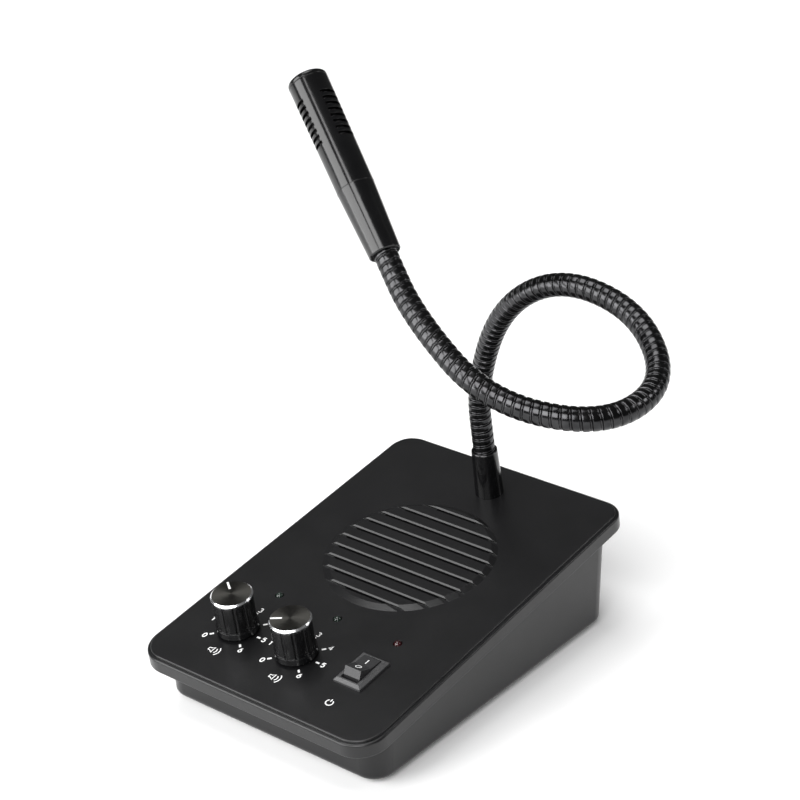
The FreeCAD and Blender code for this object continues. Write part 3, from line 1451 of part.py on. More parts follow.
def amplifier_board():
    """The board on the tub's posts, with its screws, chip and capacitors."""
    made = body("amplifier_board")
    middle = amp_front + amp_length / 2
    outline = sketch(made, "outline", y=middle)
    rectangle(outline, amp_width, amp_length)
    pad(made, outline, sizes.board_plate)
    holes = sketch(made, "holes", lift=sizes.board_plate)
    for x, y in amp_post_places():
        circle(holes, sizes.small_shank_radius + sizes.screw_pass_gap, x, y)
    pocket(made, holes)
    place(made, 0, 0, floor_top + sizes.amp_post_height)

    def stay(obj):
        return place(obj, 0, 0, 0)

    small_screws("amplifier_board_screws", amp_post_places(), amp_top, 0, stay)
    chip = block(
        "chip", sizes.chip_width, sizes.chip_plate, sizes.chip_height,
        sizes.chip_u, amp_front + sizes.chip_plate, amp_top,
    )
    node(group("amplifier_chip", [chip]), "amplifier_chip")
    cans = [
        cylinder(
            f"capacitor_{index + 1}", sizes.capacitor_radius, sizes.capacitor_height,
            sizes.capacitor_u + index * sizes.capacitor_pitch,
            amp_front + sizes.capacitor_back, amp_top,
        )
        for index in range(3)
    ]
    node(group("capacitors", cans), "capacitors")


def wall_outside(rise):
    """The rear wall's outer face at a height above the table, in the row's frame."""
    slope = sine(sizes.tub_taper) / cosine(sizes.tub_taper)
    return sizes.tub_shift + tub_length / 2 + (rise - sizes.foot_rise) * slope


def lying(obj, x, y, z):
    """Lay a cylinder down so that its axis runs towards the front from x, y, z."""
    return place(obj, x, y, z, angle=as_size(90))


def rear_socket(label, u, width, height, rise, nose_radius, bore_radius, bore_depth, pin_radius=None):
    """A socket on the amplifier board whose nose reaches through the rear wall."""
    axis_z = amp_top + rise
    nose_end = wall_outside(axis_z) - sizes.nose_recess
    inner_face = wall_outside(amp_top) - sizes.tub_wall - sizes.nose_gap
    case = block(
        f"{label}_case", width, sizes.socket_body_length, height,
        u, inner_face - sizes.socket_body_length / 2, amp_top,
    )
    nose = lying(
        cylinder(f"{label}_nose", nose_radius, nose_end - inner_face + sizes.nose_recess),
        u, nose_end, axis_z,
    )
    blank = fuse(f"{label}_blank", [case, nose])
    bore = lying(cylinder(f"{label}_bore", bore_radius, bore_depth), u, nose_end, axis_z)
    if pin_radius is None:
        made = cut(label, blank, bore)
    else:
        bored = cut(f"{label}_bored", blank, bore)
        pin = lying(
            cylinder(f"{label}_pin", pin_radius, bore_depth - sizes.nose_gap),
            u, nose_end - sizes.nose_gap * 2, axis_z,
        )
        made = fuse(label, [bored, pin])
    node(made, label)


def rear_sockets():
    rear_socket(
        "power_inlet", sizes.inlet_u, sizes.inlet_width, sizes.inlet_height,
        sizes.inlet_axis_rise, sizes.inlet_nose_radius, sizes.inlet_bore_radius,
        sizes.inlet_bore_depth, sizes.inlet_pin_radius,
    )
    rear_socket(
        "outside_unit_socket", sizes.socket_u, sizes.socket_width, sizes.socket_height,
        sizes.socket_height / 2, sizes.socket_nose_radius, sizes.socket_bore_radius,
        sizes.socket_bore_depth,
    )


# --------------------------------------------------------------------------- bent tubes
def bend_points(points, index, share):
    """Start, middle and end of the arc that rounds a route's corner."""
    corner = points[index]
    back = points[index - 1] - corner
    ahead = points[index + 1] - corner
    reach = share * min(back.Length, ahead.Length)
    back.normalize()
    ahead.normalize()
    turn = math.pi - math.acos(max(-1.0, min(1.0, back.dot(ahead))))
    radius = reach / math.tan(turn / 2)
    bisector = back + ahead
    bisector.normalize()
    centre = corner + bisector * math.hypot(radius, reach)
    return corner + back * reach, centre - bisector * radius, corner + ahead * reach


def rounded_path(points, share):
    """A wire through the points: straight runs joined by tangent arcs."""
    edges = []
    at = points[0]
    for index in range(1, len(points) - 1):
        start, middle, end = bend_points(points, index, share)
        edges.append(Part.LineSegment(at, start).toShape())
        edges.append(Part.Arc(start, middle, end).toShape())
        at = end
    edges.append(Part.LineSegment(at, points[-1]).toShape())
    return Part.Wire(edges)


def start_of(path):
    """A path's first point and its direction there."""
    edge = path.Edges[0]
    return edge.valueAt(edge.FirstParameter), edge.tangentAt(edge.FirstParameter)


def swept(path, radius):
    """A round bar of a radius along a path."""
    start, direction = start_of(path)
    ring = Part.Wire(Part.makeCircle(radius, start, direction))
    return path.makePipeShell([ring], True, False)


def swept_flat(path, width, plate):
    """A flat strip along a path that keeps to one X: its width lies along X."""
    start, direction = start_of(path)
    side = Vector(width / 2, 0, 0)
    up = direction.cross(Vector(1, 0, 0)) * (plate / 2)
    corners = [start - side - up, start + side - up, start + side + up, start - side + up]
    outline = Part.makePolygon(corners + corners[:1])
    return path.makePipeShell([outline], True, False)


def shape_node(label, shape):
    """A sub-part whose shape is worked out here."""
    made = doc.addObject("Part::Feature", label)
    made.Shape = shape
    return node(made, label)


def panel_point(u, v, n):
    """A point of the lid's plane, in the row's frame: right, up the slope, out of the panel."""
    u, v, n = as_size(u), as_size(v), as_size(n)
    y = v * cosine(tilt) - n * sine(tilt)
    z = panel_height + v * sine(tilt) + n * cosine(tilt)
    return Vector(u.number, y.number, z.number)


# --------------------------------------------------------------------------- neck mount
def neck_mount():
    """Threaded stud, its nut under the lid, and the boot round it."""
    u, v = sizes.neck_u, neck_v
    stud = body("neck_socket")
    foot = -sizes.lid_plate - sizes.stud_drop
    bore = sizes.neck_radius + sizes.root_fit
    profile = sketch(stud, "profile", role="XZ_Plane")
    polygon(profile, (
        (sizes.neck_bore, foot),
        (sizes.stud_radius, foot),
        (sizes.stud_radius, sizes.stud_rise),
        (bore, sizes.stud_rise),
        (bore, -sizes.root_depth),
        (sizes.neck_bore, -sizes.root_depth),
    ))
    revolve(stud, profile)
    neck_axis(stud)
    panel_nut(
        "neck_nut", sizes.neck_nut_flats, sizes.neck_nut_height, sizes.stud_radius,
        u, v, -sizes.lid_plate - sizes.neck_nut_height,
    )
    boot = body("neck_boot")
    grip = sizes.boot_grip
    top = sizes.boot_height
    lip = sizes.boot_lip
    profile = sketch(boot, "profile", role="XZ_Plane")
    polygon(profile, (
        (sizes.stud_radius + grip, 0),
        (sizes.boot_foot_radius, 0),
        (sizes.boot_top_radius, top - lip),
        (sizes.boot_top_radius - lip, top),
        (sizes.neck_radius + grip, top),
        (sizes.neck_radius + grip, sizes.boot_well_top),
        (sizes.stud_radius + grip, sizes.boot_well_top - grip * 2),
    ))
    revolve(boot, profile)
    neck_axis(boot)


def neck_axis(made):
    """Set a turned sub-part, drawn round its own axis, on the neck's place in the lid."""
    y = neck_v * cosine(tilt)
    z = panel_height + neck_v * sine(tilt)
    return place(made, sizes.neck_u, y, z, angle=tilt)


# --------------------------------------------------------------------------- gooseneck
def neck_route():
    """The gooseneck's corner points, from the top of the boot to the microphone's foot."""
    start = panel_point(sizes.neck_u, neck_v, sizes.boot_height)
    first = panel_point(sizes.neck_u, neck_v, sizes.boot_height + sizes.first_rise)
    bends = (
        (sizes.bend_2_right, sizes.bend_2_back, sizes.bend_2_up),
        (sizes.bend_3_right, sizes.bend_3_back, sizes.bend_3_up),
        (sizes.bend_4_right, sizes.bend_4_back, sizes.bend_4_up),
        (sizes.bend_5_right, sizes.bend_5_back, sizes.bend_5_up),
        (sizes.bend_6_right, sizes.bend_6_back, sizes.bend_6_up),
        (sizes.bend_7_right, sizes.bend_7_back, sizes.bend_7_up),
        (sizes.bend_8_right, sizes.bend_8_back, sizes.bend_8_up),
        (sizes.mic_foot_right, sizes.mic_foot_back, sizes.mic_foot_up),
    )
    return [start, first] + [
        start + Vector(right.number, back.number, up.number) for right, back, up in bends
    ]


def towards(start, end):
    """The direction from one point to another."""
    step = end - start
    step.normalize()
    return step


def straight(start, end):
    return Part.Wire(Part.LineSegment(start, end).toShape())


def round_corner(route, index, first, last):
    """The route's own arc at one corner, with straight runs from first and to last."""
    start, middle, end = bend_points(route, index, sizes.arc_share.number)
    return Part.Wire([
        Part.LineSegment(first, start).toShape(),
        Part.Arc(start, middle, end).toShape(),
        Part.LineSegment(end, last).toShape(),
    ])


def hollow(made, bore):
    """Bore a length of gooseneck along a path."""
    return made.cut(swept(bore, sizes.neck_bore.number)).removeSplitter()


def gooseneck():
    """Root, links and tip of the gooseneck: each joint is a ball in a cup, in mid-run."""
    route = neck_route()
    pivots = [(here + there) * 0.5 for here, there in zip(route, route[1:])]
    radius = sizes.neck_radius.number
    beyond = radius * 2
    ball_radius = radius - sizes.ball_relief.number
    cup_radius = radius + sizes.cup_gap.number

    held = panel_point(sizes.neck_u, neck_v, -sizes.root_depth)
    up = towards(held, pivots[0])
    root_piece = swept(straight(held, pivots[0]), radius)
    root_piece = root_piece.cut(Part.makeSphere(cup_radius, pivots[0]))
    shape_node("neck_root", hollow(root_piece, straight(held - up * beyond, pivots[0])))

    for index in range(1, len(pivots)):
        lower, upper = pivots[index - 1], pivots[index]
        before = lower - towards(lower, route[index]) * beyond
        after = upper + towards(route[index], upper) * beyond
        link = swept(round_corner(route, index, lower, upper), radius)
        link = link.fuse(Part.makeSphere(ball_radius, lower))
        link = link.cut(Part.makeSphere(cup_radius, upper))
        link = hollow(link, round_corner(route, index, before, after))
        shape_node(f"neck_link_{index}", link)

    foot = route[-1]
    axis = towards(route[-2], foot)
    seat = foot + axis * (sizes.adapter_socket.number - sizes.adapter_fit.number)
    tip_piece = swept(straight(pivots[-1], seat), radius)
    tip_piece = tip_piece.fuse(Part.makeSphere(ball_radius, pivots[-1]))
    bore = straight(pivots[-1] - axis * beyond, seat + axis * beyond)
    shape_node("neck_tip", hollow(tip_piece, bore))
    return foot, axis


# --------------------------------------------------------------------------- microphone
def mic_placement(foot, axis):
    """The microphone's frame: +Z along its axis, +Y towards one row of slots."""
    sideways = axis.cross(Vector(0, 0, 1))
    sideways.normalize()
    slot_side = Rotation(axis, -sizes.mic_roll.number).multVec(sideways)
    across = slot_side.cross(axis)
    return Placement(foot, Rotation(across, slot_side, axis, "ZXY"))


def mic_turned(label, points, frame):
    """A turned sub-part of the microphone, drawn as radius and height from its foot."""
    made = body(label)
    profile = sketch(made, "profile", role="XZ_Plane")
    polygon(profile, points)
    revolve(made, profile)
    made.Placement = frame
    return made


def microphone(frame):
    """Adapter, slotted tube, cap, screen and capsule."""
    seam = sizes.adapter_length
    tube_inner = sizes.mic_seam_radius - sizes.mic_wall
    socket = sizes.neck_radius + sizes.adapter_fit
    spigot = tube_inner - sizes.spigot_fit
    cavity = spigot - sizes.mic_wall
    edge = sizes.mic_foot_chamfer
    mic_turned("microphone_adapter", (
        (socket, 0),
        (sizes.mic_foot_radius - edge, 0),
        (sizes.mic_foot_radius, edge),
        (sizes.mic_seam_radius, seam),
        (spigot, seam),
        (spigot, seam + sizes.spigot_length),
        (cavity, seam + sizes.spigot_length),
        (cavity, sizes.adapter_cavity),
        (sizes.neck_bore, sizes.adapter_cavity),
        (sizes.neck_bore, sizes.adapter_socket),
        (socket, sizes.adapter_socket),
    ), frame)
    top = seam + sizes.mic_tube_length
    groove = sizes.mic_cap_seam
    tube = mic_turned("microphone_tube", (
        (tube_inner, seam),
        (sizes.mic_seam_radius, seam),
        (sizes.mic_tip_radius, top - groove),
        (sizes.mic_tip_radius - groove, top),
        (tube_inner, top),
    ), frame)
    slots = sketch(tube, "slots", role="XZ_Plane")
    for index in range(int(sizes.mic_slot_count.number)):
        height = seam + sizes.mic_slot_start + index * sizes.mic_slot_pitch
        rectangle(slots, sizes.mic_slot_length, sizes.mic_slot_width, y=height)
    row = pocket(tube, slots, sizes.mic_tip_radius * 2)
    rows = tube.newObject("PartDesign::PolarPattern", "microphone_slot_rows")
    rows.Originals = [row]
    spin = next(part for part in tube.Origin.OriginFeatures if part.Role == "Z_Axis")
    rows.Axis = (spin, [""])
    rows.Angle = 360
    bind(rows, "Occurrences", sizes.mic_slot_rows)
    tube.Tip = rows
    plug = tube_inner - sizes.spigot_fit
    cap = mic_turned("microphone_cap", (
        (0, top - sizes.mic_cap_plug),
        (plug, top - sizes.mic_cap_plug),
        (plug, top),
        (sizes.mic_tip_radius - groove, top),
        (sizes.mic_tip_radius, top + groove),
        (sizes.mic_tip_radius, top + sizes.mic_cap_height),
        (0, top + sizes.mic_cap_height),
    ), frame)
    end = (top + sizes.mic_cap_height).number
    fillet(cap, cap.Tip, sizes.mic_cap_round, lambda e: level_at(e, end), "end_round")
    screen_outer = tube_inner - sizes.screen_gap
    screen_inner = screen_outer - sizes.screen_wall
    screen_foot = seam + sizes.screen_start
    mic_turned("microphone_screen", (
        (screen_inner, screen_foot),
        (screen_outer, screen_foot),
        (screen_outer, screen_foot + sizes.screen_length),
        (screen_inner, screen_foot + sizes.screen_length),
    ), frame)
    capsule = screen_inner - sizes.capsule_gap
    capsule_foot = seam + sizes.capsule_start
    mic_turned("microphone_capsule", (
        (0, capsule_foot),
        (capsule, capsule_foot),
        (capsule, capsule_foot + sizes.capsule_height),
        (0, capsule_foot + sizes.capsule_height),
    ), frame)


# --------------------------------------------------------------------------- leads
def speaker_wires():
    """Two wires from the loudspeaker's basket to the amplifier board."""
    share = sizes.arc_share.number
    wires = []
    for side in (1, 2):
        x = sizes.basket_foot_radius + side * sizes.wire_pitch
        start = panel_point(x, speaker_v, -frame_back + sizes.wire_rise)
        behind = start + Vector(0, sizes.wire_run.number, -sizes.wire_drop.number)
        board = Vector(start.x, (amp_front + sizes.wire_landing).number, amp_top.number)
        above = board + Vector(0, -sizes.wire_radius.number, sizes.wire_hop.number)
        path = rounded_path([start, behind, above, board], share)
        wires.append(swept(path, sizes.wire_radius.number))
    return wires


def switch_wires():
    """Two wires from the switch's terminals along the floor to the amplifier board."""
    share = sizes.arc_share.number
    radius = sizes.wire_radius.number
    floor = (floor_top + sizes.wire_radius * 2).number
    wires = []
    for side in (-1, 1):
        blade = panel_point(
            sizes.switch_u, switch_v + side * sizes.terminal_pitch / 2,
            -sizes.housing_depth - sizes.terminal_length,
        )
        start = blade - Vector(0, 0, radius)
        x = (sizes.switch_wire_u + side * sizes.switch_wire_pitch / 2).number
        landing = (amp_front + sizes.wire_landing).number
        path = rounded_path([
            start,
            Vector(x, start.y + sizes.wire_run.number, floor),
            Vector(x, landing - 2 * sizes.wire_run.number, floor),
            Vector(x, landing - radius, amp_top.number + sizes.wire_hop.number),
            Vector(x, landing, amp_top.number),
        ], share)
        wires.append(swept(path, radius))
    return wires


def leads():
    """The leads inside the case, each whole from its piece to the amplifier board."""
    share = sizes.arc_share.number
    shape_node("hookup_wires", Part.makeCompound(speaker_wires() + switch_wires()))

    under = -sizes.control_drop - sizes.board_plate
    top = panel_point(sizes.ribbon_u, control_back - sizes.ribbon_plate * 2, under)
    out = panel_point(
        sizes.ribbon_u, control_back - sizes.ribbon_plate * 2, under - sizes.ribbon_hop
    )
    landing = (amp_front + sizes.ribbon_plate).number
    floor = (floor_top + sizes.ribbon_plate * 2).number
    ribbon = rounded_path([
        top,
        out,
        Vector(top.x, out.y + sizes.ribbon_run.number, floor),
        Vector(top.x, landing - sizes.ribbon_run.number, floor),
        Vector(top.x, landing, amp_top.number + sizes.ribbon_hop.number),
        Vector(top.x, landing, amp_top.number),
    ], share)
    strip = swept_flat(ribbon, sizes.ribbon_width.number, sizes.ribbon_plate.number)
    shape_node("ribbon_cable", strip)

    foot = -sizes.lid_plate - sizes.stud_drop
    start = panel_point(sizes.neck_u, neck_v, foot + sizes.lead_grip)
    below = panel_point(sizes.neck_u, neck_v, foot - sizes.lead_run)
    board = Vector(sizes.lead_u.number, sizes.lead_back.number, amp_top.number)
    lead = rounded_path([
        start,
        below,
        board + Vector(0, 0, sizes.lead_run.number),
        board,
    ], share)
    shape_node("microphone_lead", swept(lead, sizes.lead_radius.number))


# --------------------------------------------------------------------------- build
def build():
    top_cover()
    lower_case()
    rubber_feet()
    case_screws()
    speaker()
    volume_controls()
    for label, u in (
        ("inner_lamp", -sizes.dial_u), ("outer_lamp", 0 * sizes.dial_u), ("power_lamp", sizes.dial_u),
    ):
        lamp(label, u)
    rocker_bezel()
    rocker_button()
    switch_terminals()
    control_board()
    amplifier_board()
    rear_sockets()
    neck_mount()
    foot, axis = gooseneck()
    microphone(mic_placement(foot, axis))
    leads()
    doc.recompute()


def check():
    """Stop if any object failed, or any sub-part has no sound shape."""
    for obj in doc.Objects:
        bad = [state for state in obj.State if state in ("Invalid", "Error")]
        if bad:
            raise RuntimeError(f"{obj.Name} failed: {obj.State}")
    for label, obj in nodes.items():
        shape = obj.Shape
        if shape.isNull() or not shape.isValid() or not shape.Solids:
            raise RuntimeError(f"{label} has no sound shape")


def write():
    """One STEP file for each sub-part."""
    os.makedirs("parts", exist_ok=True)
    for label, obj in nodes.items():
        obj.Shape.exportStep(f"parts/{label}.step")
        print(label, len(obj.Shape.Solids), round(obj.Shape.Volume, 1))


build()
check()
write()
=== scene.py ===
"""A counter intercom: sloping black case, gooseneck microphone, two volume knobs and a rocker switch."""
import math

import bpy
import numpy as np
from mathutils import Matrix


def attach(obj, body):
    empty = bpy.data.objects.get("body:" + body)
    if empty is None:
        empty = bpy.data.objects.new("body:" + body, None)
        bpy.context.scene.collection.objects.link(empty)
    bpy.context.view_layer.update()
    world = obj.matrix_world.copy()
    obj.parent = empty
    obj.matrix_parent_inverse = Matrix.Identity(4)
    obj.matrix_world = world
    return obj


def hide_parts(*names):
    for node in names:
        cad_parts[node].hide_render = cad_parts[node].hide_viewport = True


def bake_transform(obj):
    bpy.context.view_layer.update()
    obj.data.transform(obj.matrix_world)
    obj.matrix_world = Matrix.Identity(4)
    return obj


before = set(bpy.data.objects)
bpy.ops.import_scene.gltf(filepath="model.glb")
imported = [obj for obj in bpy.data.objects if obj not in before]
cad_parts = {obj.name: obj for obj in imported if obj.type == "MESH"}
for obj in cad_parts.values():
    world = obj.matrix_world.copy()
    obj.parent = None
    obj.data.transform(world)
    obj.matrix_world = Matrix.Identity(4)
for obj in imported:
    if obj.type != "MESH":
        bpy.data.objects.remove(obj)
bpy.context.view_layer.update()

MM = 0.001
CASE = "case"

# The sloping panel: its tilt, and the height of its plane above the counter at the case's middle
PANEL_TILT = math.radians(8.5)
PANEL_HEIGHT = 35.0335

# Places on the panel in mm: to the right and up the slope from the case's middle, and out of the panel
INNER_DIAL = (-27.2, -50.1)
OUTER_DIAL = (0.0, -50.1)
CAP_MIDDLE_RISE = 15.0
CAP_FACE_RISE = 15.9
INNER_SIGN = (-27.1, -63.3)
OUTER_SIGN = (1.5, -63.6)
POWER_SIGN = (26.5, -64.0)

# The knobs' turns from the back, clockwise in degrees, and the radii in mm where their caps' bevels begin
# and are full
INNER_TURN = -53.5
OUTER_TURN = -122.0
CAP_FACE_RADIUS = 7.02
CAP_BEVEL_RADIUS = 7.08

# The rocker: its pivot in the frame, how far it leans from the panel, half its length, and how high its
# ends and its middle stand over the pivot, the lengths in mm
ROCKER_PIVOT = (26.4, -45.9108, 26.9588)
ROCKER_TILT = math.radians(15.0)
ROCKER_HALF = 5.1
ROCKER_END_RISE = 4.9
ROCKER_MIDDLE_RISE = 4.0

# Ink begins just above the surface it is printed on, in mm
INK_LOW = 0.004
INK_HIGH = 0.03

# The gooseneck's corners in mm, from the top of its boot to the microphone's foot
NECK_CORNERS = np.array([
    (1.4, 56.785, 63.034),
    (1.4, 52.646, 90.727),
    (19.0, 44.085, 129.834),
    (44.8, 44.885, 147.034),
    (75.2, 46.785, 140.634),
    (98.0, 28.785, 127.134),
    (94.7, -3.915, 124.334),
    (59.5, -18.415, 129.034),
    (26.7, -13.615, 148.834),
    (10.4, -7.215, 164.534),
])
NECK_RADIUS = 4.15
NECK_PITCH = 3.0
# How far the hose goes on into the boot and into the microphone, as shares of its first and last half run
INTO_BOOT = 0.12
INTO_MICROPHONE = 0.45
# Steps of its middle line in each straight end and in each bend
STRAIGHT_STEPS = 120
BEND_STEPS = 160
# Its surface: from ring to ring in mm, points in a ring, and how far its direction is taken to both sides
RING_SPACING = 0.07
RING_POINTS = 36
DIRECTION_REACH = 0.4
# A direction that the middle line never nears
STEADY = (-0.2546, -0.5761, -0.7768)

# The seam between the microphone's adapter and its tube, and the lip that covers it, in mm
ADAPTER_LENGTH = 25.5
SEAM_RADIUS = 6.6
LIP_RADIUS = 0.16
LIP_DEPTH = 0.08

# A wave texture of scale 1 repeats after this length
WAVE_LENGTH = 0.314


# ------------------------------------------------------------------ camera and light
def look(right, up, back, centre):
    """A placement from three axes and a centre."""
    columns = np.column_stack((right, up, back, centre))
    return Matrix(np.vstack((columns, (0, 0, 0, 1))).tolist())


def make_camera():
    """A long lens, a little to the right of the object's front and above it."""
    lens = bpy.data.cameras.new("camera")
    lens.sensor_width = 36.0
    lens.lens = 98.94
    lens.shift_x = -0.0304
    lens.shift_y = -0.0048
    lens.clip_start = 0.02
    lens.clip_end = 30.0
    camera = bpy.data.objects.new("camera", lens)
    bpy.context.scene.collection.objects.link(camera)
    camera.matrix_world = look(
        right=(0.783940, 0.620403, -0.023209),
        up=(-0.254387, 0.355094, 0.899553),
        back=(0.566326, -0.699291, 0.436195),
        centre=(0.441284, -0.520907, 0.437297),
    )
    bpy.context.scene.camera = camera


def soft_box(name, place, aim, width, height, watts):
    """A flat soft light at a place, turned to a point, both in metres."""
    lamp = bpy.data.lights.new(name, "AREA")
    lamp.shape = "RECTANGLE"
    lamp.size = width
    lamp.size_y = height
    lamp.energy = watts
    light = bpy.data.objects.new(name, lamp)
    bpy.context.scene.collection.objects.link(light)
    back = unit(np.subtract(place, aim))
    right = unit(np.cross((0, 0, 1), back))
    light.matrix_world = look(right, np.cross(back, right), back, place)


def make_light():
    """A dark room and four soft boxes: one low on the left that draws the long highlights, a wide one in
    front, one overhead, and a small one behind on the right that lights the lid's right edge."""
    room = bpy.data.worlds.new("room")
    room.use_nodes = True
    sky = room.node_tree.nodes["Background"]
    sky.inputs["Color"].default_value = (1.0, 1.0, 1.0, 1.0)
    sky.inputs["Strength"].default_value = 0.12
    bpy.context.scene.world = room
    soft_box("left_box", (-0.78, -1.3, 0.6), (0.0, 0.0, 0.15), 1.2, 1.25, 31.0)
    soft_box("key_box", (1.15, -3.45, 3.0), (0.0, 0.0, 0.0), 3.1, 3.1, 208.0)
    soft_box("top_box", (-1.0, 0.0, 3.8), (0.0, 0.0, 0.0), 2.4, 2.4, 85.0)
    soft_box("rim_box", (1.43, 1.29, 1.3), (0.0, 0.0, 0.0), 0.6, 0.6, 7.0)


# ------------------------------------------------------------------ materials
def linear(colour):
    """An sRGB hex colour as linear red, green, blue and alpha."""
    parts = np.array([int(colour[index:index + 2], 16) for index in (1, 3, 5)]) / 255
    dark = parts / 12.92
    light = ((parts + 0.055) / 1.055) ** 2.4
    return (*np.where(parts <= 0.04045, dark, light).tolist(), 1.0)


def add_node(material, kind, values=None, links=None, **settings):
    """Adds a node with its settings, sets free sockets, and links others to outputs of earlier nodes."""
    tree = material.node_tree
    node = tree.nodes.new(kind)
    for name, value in settings.items():
        setattr(node, name, value)
    for socket, value in (values or {}).items():
        node.inputs[socket].default_value = value
    for socket, (source, output) in (links or {}).items():
        tree.links.new(source.outputs[output], node.inputs[socket])
    return node


def link(material, source, output, target, socket):
    """Joins one node's output to another's socket."""
    material.node_tree.links.new(source.outputs[output], target.inputs[socket])


def new_material(name, colour, roughness, **shader_values):
    """A material with its constant values on the shader's sockets. Returns it, its shader and its place."""
    material = bpy.data.materials.new(name)
    material.use_nodes = True
    shader = material.node_tree.nodes["Principled BSDF"]
    shader.inputs["Base Color"].default_value = linear(colour)
    shader.inputs["Roughness"].default_value = roughness
    for socket, value in shader_values.items():
        shader.inputs[socket.replace("_", " ")].default_value = value
    place = add_node(material, "ShaderNodeTexCoord")
    return material, shader, place


def two_tones(material, shader, factor, output, dark, light, low=0.35, high=0.65):
    """The base colour runs from a dark to a light tone as a factor goes from low to high."""
    ramp = add_node(material, "ShaderNodeValToRGB", links={"Fac": (factor, output)})
    ramp.color_ramp.elements[0].position = low
    ramp.color_ramp.elements[0].color = linear(dark)
    ramp.color_ramp.elements[1].position = high
    ramp.color_ramp.elements[1].color = linear(light)
    link(material, ramp, "Color", shader, "Base Color")


def spread_roughness(material, shader, factor, output, low, high):
    """The roughness runs from low to high as a factor goes from 0 to 1."""
    spread = add_node(
        material, "ShaderNodeMapRange",
        values={"To Min": low, "To Max": high}, links={"Value": (factor, output)},
    )
    link(material, spread, "Result", shader, "Roughness")


def raise_grain(material, shader, factor, output, depth, edge=None):
    """The surface stands up by depth in mm where a factor is 1, on edges rounded to a radius in mm."""
    bump = add_node(
        material, "ShaderNodeBump", values={"Distance": depth * MM}, links={"Height": (factor, output)},
    )
    if edge:
        rounded = add_node(material, "ShaderNodeBevel", samples=6, values={"Radius": edge * MM})
        link(material, rounded, "Normal", bump, "Normal")
    link(material, bump, "Normal", shader, "Normal")


def spark_grain(name, dark, light, roughness, grain, depth, edge, **values):
    """ABS moulded in a spark-eroded tool: fine even pits, and a broad faint cloud from uneven shine."""
    material, shader, place = new_material(name, dark, roughness, IOR=1.46, **values)
    pits = add_node(
        material, "ShaderNodeTexNoise", links={"Vector": (place, "Object")},
        values={"Scale": 1.0 / (grain * MM), "Detail": 2.0, "Roughness": 0.6},
    )
    cloud = add_node(
        material, "ShaderNodeTexNoise", links={"Vector": (place, "Object")},
        values={"Scale": 1.0 / (18.0 * MM), "Detail": 3.0, "Roughness": 0.55},
    )
    two_tones(material, shader, pits, "Fac", dark, light, 0.3, 0.7)
    spread_roughness(material, shader, cloud, "Fac", roughness - 0.06, roughness + 0.06)
    raise_grain(material, shader, pits, "Fac", depth, edge)
    return material


def smooth_gloss(name, dark, light, roughness, ripple, depth, edge, **values):
    """A shiny moulded or sprayed black: broad low ripples in the shine and a few dull patches."""
    material, shader, place = new_material(name, dark, roughness, **values)
    ripples = add_node(
        material, "ShaderNodeTexNoise", links={"Vector": (place, "Object")},
        values={"Scale": 1.0 / (ripple * MM), "Detail": 1.5, "Roughness": 0.45},
    )
    patches = add_node(
        material, "ShaderNodeTexNoise", links={"Vector": (place, "Object")},
        values={"Scale": 1.0 / (9.0 * MM), "Detail": 4.0, "Roughness": 0.6},
    )
    two_tones(material, shader, patches, "Fac", dark, light, 0.35, 0.75)
    spread_roughness(material, shader, patches, "Fac", roughness - 0.05, roughness + 0.07)
    raise_grain(material, shader, ripples, "Fac", depth, edge)
    return material


def rolled_metal(name, dark, light, roughness, streak, along, edge, **values):
    """Bare or plated metal: fine streaks from rolling or turning, long along one way."""
    material, shader, place = new_material(name, light, roughness, Metallic=1.0, **values)
    stretch = add_node(
        material, "ShaderNodeMapping", links={"Vector": (place, "Object")}, values={"Scale": along},
    )
    streaks = add_node(
        material, "ShaderNodeTexNoise", links={"Vector": (stretch, "Vector")},
        values={"Scale": 1.0 / (streak * MM), "Detail": 3.0, "Roughness": 0.6},
    )
    two_tones(material, shader, streaks, "Fac", dark, light, 0.3, 0.7)
    spread_roughness(material, shader, streaks, "Fac", roughness - 0.08, roughness + 0.1)
    raise_grain(material, shader, streaks, "Fac", 0.01, edge)
    return material


def woven(name, dark, light, roughness, thread, depth, **values):
    """A plain weave: two sets of threads at right angles, each a row of rounded ridges."""
    material, shader, place = new_material(name, dark, roughness, **values)
    sets = [
        add_node(
            material, "ShaderNodeTexWave", bands_direction=direction, wave_profile="SIN",
            links={"Vector": (place, "Object")},
            values={"Scale": WAVE_LENGTH / (thread * MM), "Distortion": 0.3},
        )
        for direction in ("X", "Y")
    ]
    both = add_node(
        material, "ShaderNodeMath", operation="MULTIPLY",
        links={0: (sets[0], "Fac"), 1: (sets[1], "Fac")},
    )
    two_tones(material, shader, both, "Value", dark, light, 0.1, 0.8)
    raise_grain(material, shader, both, "Value", depth)
    return material


def radius_from(material, place, centre):
    """How far a point is from an axis through a centre, the axis square to the panel."""
    turned = add_node(
        material, "ShaderNodeMapping", vector_type="TEXTURE", links={"Vector": (place, "Object")},
        values={"Location": centre, "Rotation": (PANEL_TILT, 0.0, 0.0)},
    )
    flat = add_node(
        material, "ShaderNodeVectorMath", operation="MULTIPLY",
        links={0: (turned, "Vector")}, values={1: (1.0, 1.0, 0.0)},
    )
    return add_node(
        material, "ShaderNodeVectorMath", operation="LENGTH", links={0: (flat, "Vector")},
    )


